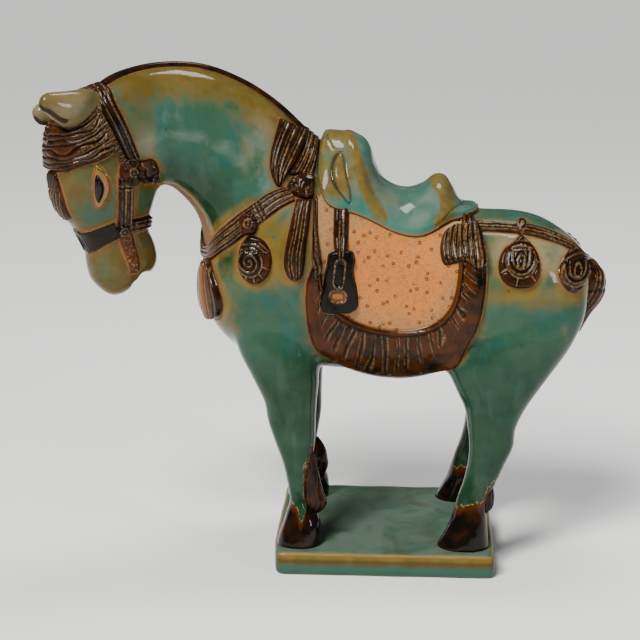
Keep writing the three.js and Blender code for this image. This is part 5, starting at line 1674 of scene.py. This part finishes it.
def place_glazes(points):
    """Where each glaze lies on the body: near the tack, warm, thick with painted shade low down, milky with painted
    sheen, or dark, over the hooves, and painted shade in the ears
    """
    x, z = points[:, 0] / PART, (points[:, 2] - PLINTH_TOP) / PART
    tack, hair = tree_of(laid_pieces), tree_of(tufts)
    near = np.array([tack.find(p)[2] for p in points])
    crest, throat = (away(points[:, ::2], at(np.array(NECK)[:, k:k + 2]))[0] / PART for k in (0, 2))
    neck = ramp(-x, 14, 20) * ramp(x, -60, -56) * ramp(z, 55, 62)
    near = np.minimum(near, 0.4 + 9 * (1 - ramp(-x, 22, 26) * ramp(x, -52, -49) * ramp(-throat, -1.7, -0.7)))
    head = ramp(-x, 47, 52) * ramp(z, 48, 54)
    warm = np.maximum.reduce([
        0.95 * neck * ramp(-crest, -11, -2), 0.95 * head * ramp(-z, -66, -60), 0.72 * head,
        0.8 * neck * ramp(-throat, -2.5, -0.8), 0.9 * ramp(-x, 36.0, 38.5) * ramp(z, 40, 44) * ramp(-z, -70, -64),
        boxed(x, z, WARM),
    ])
    warm = warm - 0.5 * boxed(x, z, COOL)
    # Milky glaze in boxes and in a band below the crest, partly painted sheen
    pale_and_sheen = np.maximum(boxed(x, z, PALE_AND_SHEEN), 0.65 * neck * bell(crest - 13.0, 3.0))
    # Thick glaze and painted shade along the throat, low on the body and down the legs
    thick = 0.85 * neck * (1 - 0.8 * head) * ramp(-throat, -12, -4)
    thick = thick + 0.85 * ramp(-z, -54, -30) + 0.25 * ramp(-z, -14, -8)
    dark = 0.6 * head + 0.4 * neck * ramp(-crest, -9, -2)
    hoof = np.full(len(points), -20.0)
    for front, back, *both in HOOVES:
        side = ramp(x, front - 3, front - 2) * ramp(-x, -back - 3, -back - 2)
        for tops, hand in zip(both, (-1, 1)):
            line = np.interp(x, *zip(*tops))
            hoof = np.where((side > 0.5) & (points[:, 1] * hand > 0), (line - z) * PART, hoof)
    low = z < 30
    hoof[low] = np.maximum(hoof[low], [3.2 - 1.6 * hair.find(p)[2] for p in points[low]])
    # Painted shade inside the left ear's fold and along the right ear's lower side
    ear_shades = [
        (ear_line(LEFT_EAR, slice(32, -2), 0.7 * math.sin(EAR_FOLD), 0.7 * math.cos(EAR_FOLD)), 2.2),
        (ear_line(RIGHT_EAR, slice(24, -6), 0.5, -0.7) * [1, -1, 1], 2.6),
    ]
    slot = np.max([bell(away(points, line)[0], width) for line, width in ear_shades], axis=0)
    return {"near": near, "warm": warm, "thick": thick, "pale_and_sheen": pale_and_sheen, "dark": dark, "hoof": hoof, "slot": slot}


# Operators

class HORSE_OT_body(bpy.types.Operator):
    """Torso, neck, head, legs and ears, fused into one skin"""

    bl_idname = "horse.body"
    bl_label = "Horse body"

    def execute(self, context):
        body = fired(shape_body(), "horse_body", "body glaze")
        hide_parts("horse")
        return {"FINISHED"}


class HORSE_OT_plinth(bpy.types.Operator):
    """The slab under the hooves"""

    bl_idname = "horse.plinth"
    bl_label = "Plinth"

    def execute(self, context):
        fired(shape_plinth(), "plinth", "plinth glaze")
        return {"FINISHED"}


class HORSE_OT_cloth(bpy.types.Operator):
    """The saddle cloth, a stippled panel in a pleated border on each side"""

    bl_idname = "horse.cloth"
    bl_label = "Saddle cloth"

    def execute(self, context):
        mesh = shape_cloth().mesh("saddle_cloth")
        forms["clothed"] = Form(forms["body"], mesh)
        fired(mesh, "saddle_cloth", "cloth glaze")
        return {"FINISHED"}


class HORSE_OT_saddle(bpy.types.Operator):
    """The saddle over the back"""

    bl_idname = "horse.saddle"
    bl_label = "Saddle"

    def execute(self, context):
        fired(shape_saddle(), "saddle", "saddle glaze")
        return {"FINISHED"}


class HORSE_OT_stirrups(bpy.types.Operator):
    """Stirrup leathers and stirrups"""

    bl_idname = "horse.stirrups"
    bl_label = "Stirrups"

    def execute(self, context):
        fired(shape_stirrups(), "stirrups", "harness glaze")
        return {"FINISHED"}


class HORSE_OT_flaps(bpy.types.Operator):
    """Ribbed flaps behind the saddle"""

    bl_idname = "horse.flaps"
    bl_label = "Rear flaps"

    def execute(self, context):
        fired(shape_flaps(), "rear_flaps", "hair glaze")
        return {"FINISHED"}


class HORSE_OT_bridle(bpy.types.Operator):
    """Poll strap, cheek strap, noseband, chin strap, bosses and bow"""

    bl_idname = "horse.bridle"
    bl_label = "Bridle"

    def execute(self, context):
        fired(shape_bridle(), "bridle", "harness glaze")
        return {"FINISHED"}


class HORSE_OT_breast_harness(bpy.types.Operator):
    """Breast strap with its pendants"""

    bl_idname = "horse.breast_harness"
    bl_label = "Breast harness"

    def execute(self, context):
        fired(shape_breast_harness(), "breast_harness", "harness glaze")
        return {"FINISHED"}


class HORSE_OT_crupper(bpy.types.Operator):
    """Crupper with its pendants"""

    bl_idname = "horse.crupper"
    bl_label = "Crupper"

    def execute(self, context):
        fired(shape_crupper(), "crupper", "harness glaze")
        return {"FINISHED"}


class HORSE_OT_mane(bpy.types.Operator):
    """The clipped mane and the locks at the withers"""

    bl_idname = "horse.mane"
    bl_label = "Mane"

    def execute(self, context):
        fired(shape_mane(), "mane", "hair glaze")
        return {"FINISHED"}


class HORSE_OT_forelock(bpy.types.Operator):
    """Forelock and the bound lock below it"""

    bl_idname = "horse.forelock"
    bl_label = "Forelock"

    def execute(self, context):
        fired(shape_forelock(), "forelock", "hair glaze")
        return {"FINISHED"}


class HORSE_OT_eyes(bpy.types.Operator):
    """Almond eyes in raised lids"""

    bl_idname = "horse.eyes"
    bl_label = "Eyes"

    def execute(self, context):
        fired(shape_eyes(), "eyes", "eye glaze")
        return {"FINISHED"}


class HORSE_OT_feathering(bpy.types.Operator):
    """Long hair behind the fetlocks"""

    bl_idname = "horse.feathering"
    bl_label = "Feathering"

    def execute(self, context):
        fired(shape_feathering(), "feathering", "hair glaze")
        return {"FINISHED"}


class HORSE_OT_tail(bpy.types.Operator):
    """The bound tail"""

    bl_idname = "horse.tail"
    bl_label = "Tail"

    def execute(self, context):
        fired(shape_tail(), "tail", "hair glaze")
        return {"FINISHED"}


class HORSE_OT_glaze(bpy.types.Operator):
    """Marks where each glaze lies on the body"""

    bl_idname = "horse.glaze"
    bl_label = "Glaze the body"

    def execute(self, context):
        mesh = bpy.data.objects["horse_body"].data
        for name, values in place_glazes(forms["body"].points).items():
            set_mark(mesh, name, values)
        return {"FINISHED"}


class HORSE_OT_stage(bpy.types.Operator):
    """Floor, soft lights and the camera"""

    bl_idname = "horse.stage"
    bl_label = "Stage"

    def execute(self, context):
        scene = context.scene
        bm = bmesh.new()
        bmesh.ops.create_grid(bm, x_segments=1, y_segments=1, size=FLOOR)
        mesh = bpy.data.meshes.new("floor")
        bm.to_mesh(mesh)
        bm.free()
        g = Glaze("floor paper")
        grain = g.clouds(3, 2.0)
        mesh.materials.append(g.finish(g.mix(*PAPER, grain), 0.9, grain, 0.02, 0.0))
        floor = placed("floor", mesh)
        for name, place, aim, size, power, tint in LAMPS:
            light = bpy.data.lights.new(name, "AREA")
            light.shape = "RECTANGLE"
            light.size, light.size_y = size
            light.energy, light.color = power, tint
            placed(name, light, place, (Vector(aim) - Vector(place)).to_track_quat("-Z", "Y").to_euler())
        sun = bpy.data.lights.new("daylight", "SUN")
        for name, value in DAYLIGHT.items():
            setattr(sun, name, value)
        placed("daylight", sun, turn=DAYLIGHT_TURN)
        world = bpy.data.worlds.new("studio")
        world.use_nodes = True
        for name, value in SKY.items():
            world.node_tree.nodes["Background"].inputs[name].default_value = value
        scene.world = world
        lens = bpy.data.cameras.new("camera")
        lens.lens, lens.sensor_width = LENS, SENSOR
        scene.camera = placed("camera", lens, CAMERA_PLACE, CAMERA_TURN)
        return {"FINISHED"}


STEPS = [
    HORSE_OT_stage, HORSE_OT_body, HORSE_OT_plinth, HORSE_OT_cloth, HORSE_OT_saddle, HORSE_OT_stirrups,
    HORSE_OT_flaps, HORSE_OT_bridle, HORSE_OT_breast_harness, HORSE_OT_crupper, HORSE_OT_mane, HORSE_OT_forelock,
    HORSE_OT_eyes, HORSE_OT_feathering, HORSE_OT_tail, HORSE_OT_glaze,
]


class HORSE_PT_panel(bpy.types.Panel):
    """The horse's pieces, sizes and colours"""

    bl_idname = "HORSE_PT_panel"
    bl_label = "Glazed tomb horse"
    bl_space_type = "VIEW_3D"
    bl_region_type = "UI"
    bl_category = "Horse"

    def draw(self, context):
        column = self.layout.column()
        for step in STEPS:
            column.operator(step.bl_idname)
        for group in (context.scene.horse_sizes, context.scene.horse_glazes):
            for name in group.__annotations__:
                column.prop(group, name)


CLASSES = [HorseGlazes, HorseSizes, *STEPS, HORSE_PT_panel]


def register():
    for each in CLASSES:
        bpy.utils.register_class(each)
    bpy.types.Scene.horse_glazes = bpy.props.PointerProperty(type=HorseGlazes)
    bpy.types.Scene.horse_sizes = bpy.props.PointerProperty(type=HorseSizes)


def unregister():
    del bpy.types.Scene.horse_sizes
    del bpy.types.Scene.horse_glazes
    for each in reversed(CLASSES):
        bpy.utils.unregister_class(each)


def main():
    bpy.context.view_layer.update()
    register()
    for step in STEPS:
        group, name = step.bl_idname.split(".")
        getattr(getattr(bpy.ops, group), name)()


if __name__ == "__main__":
    main()
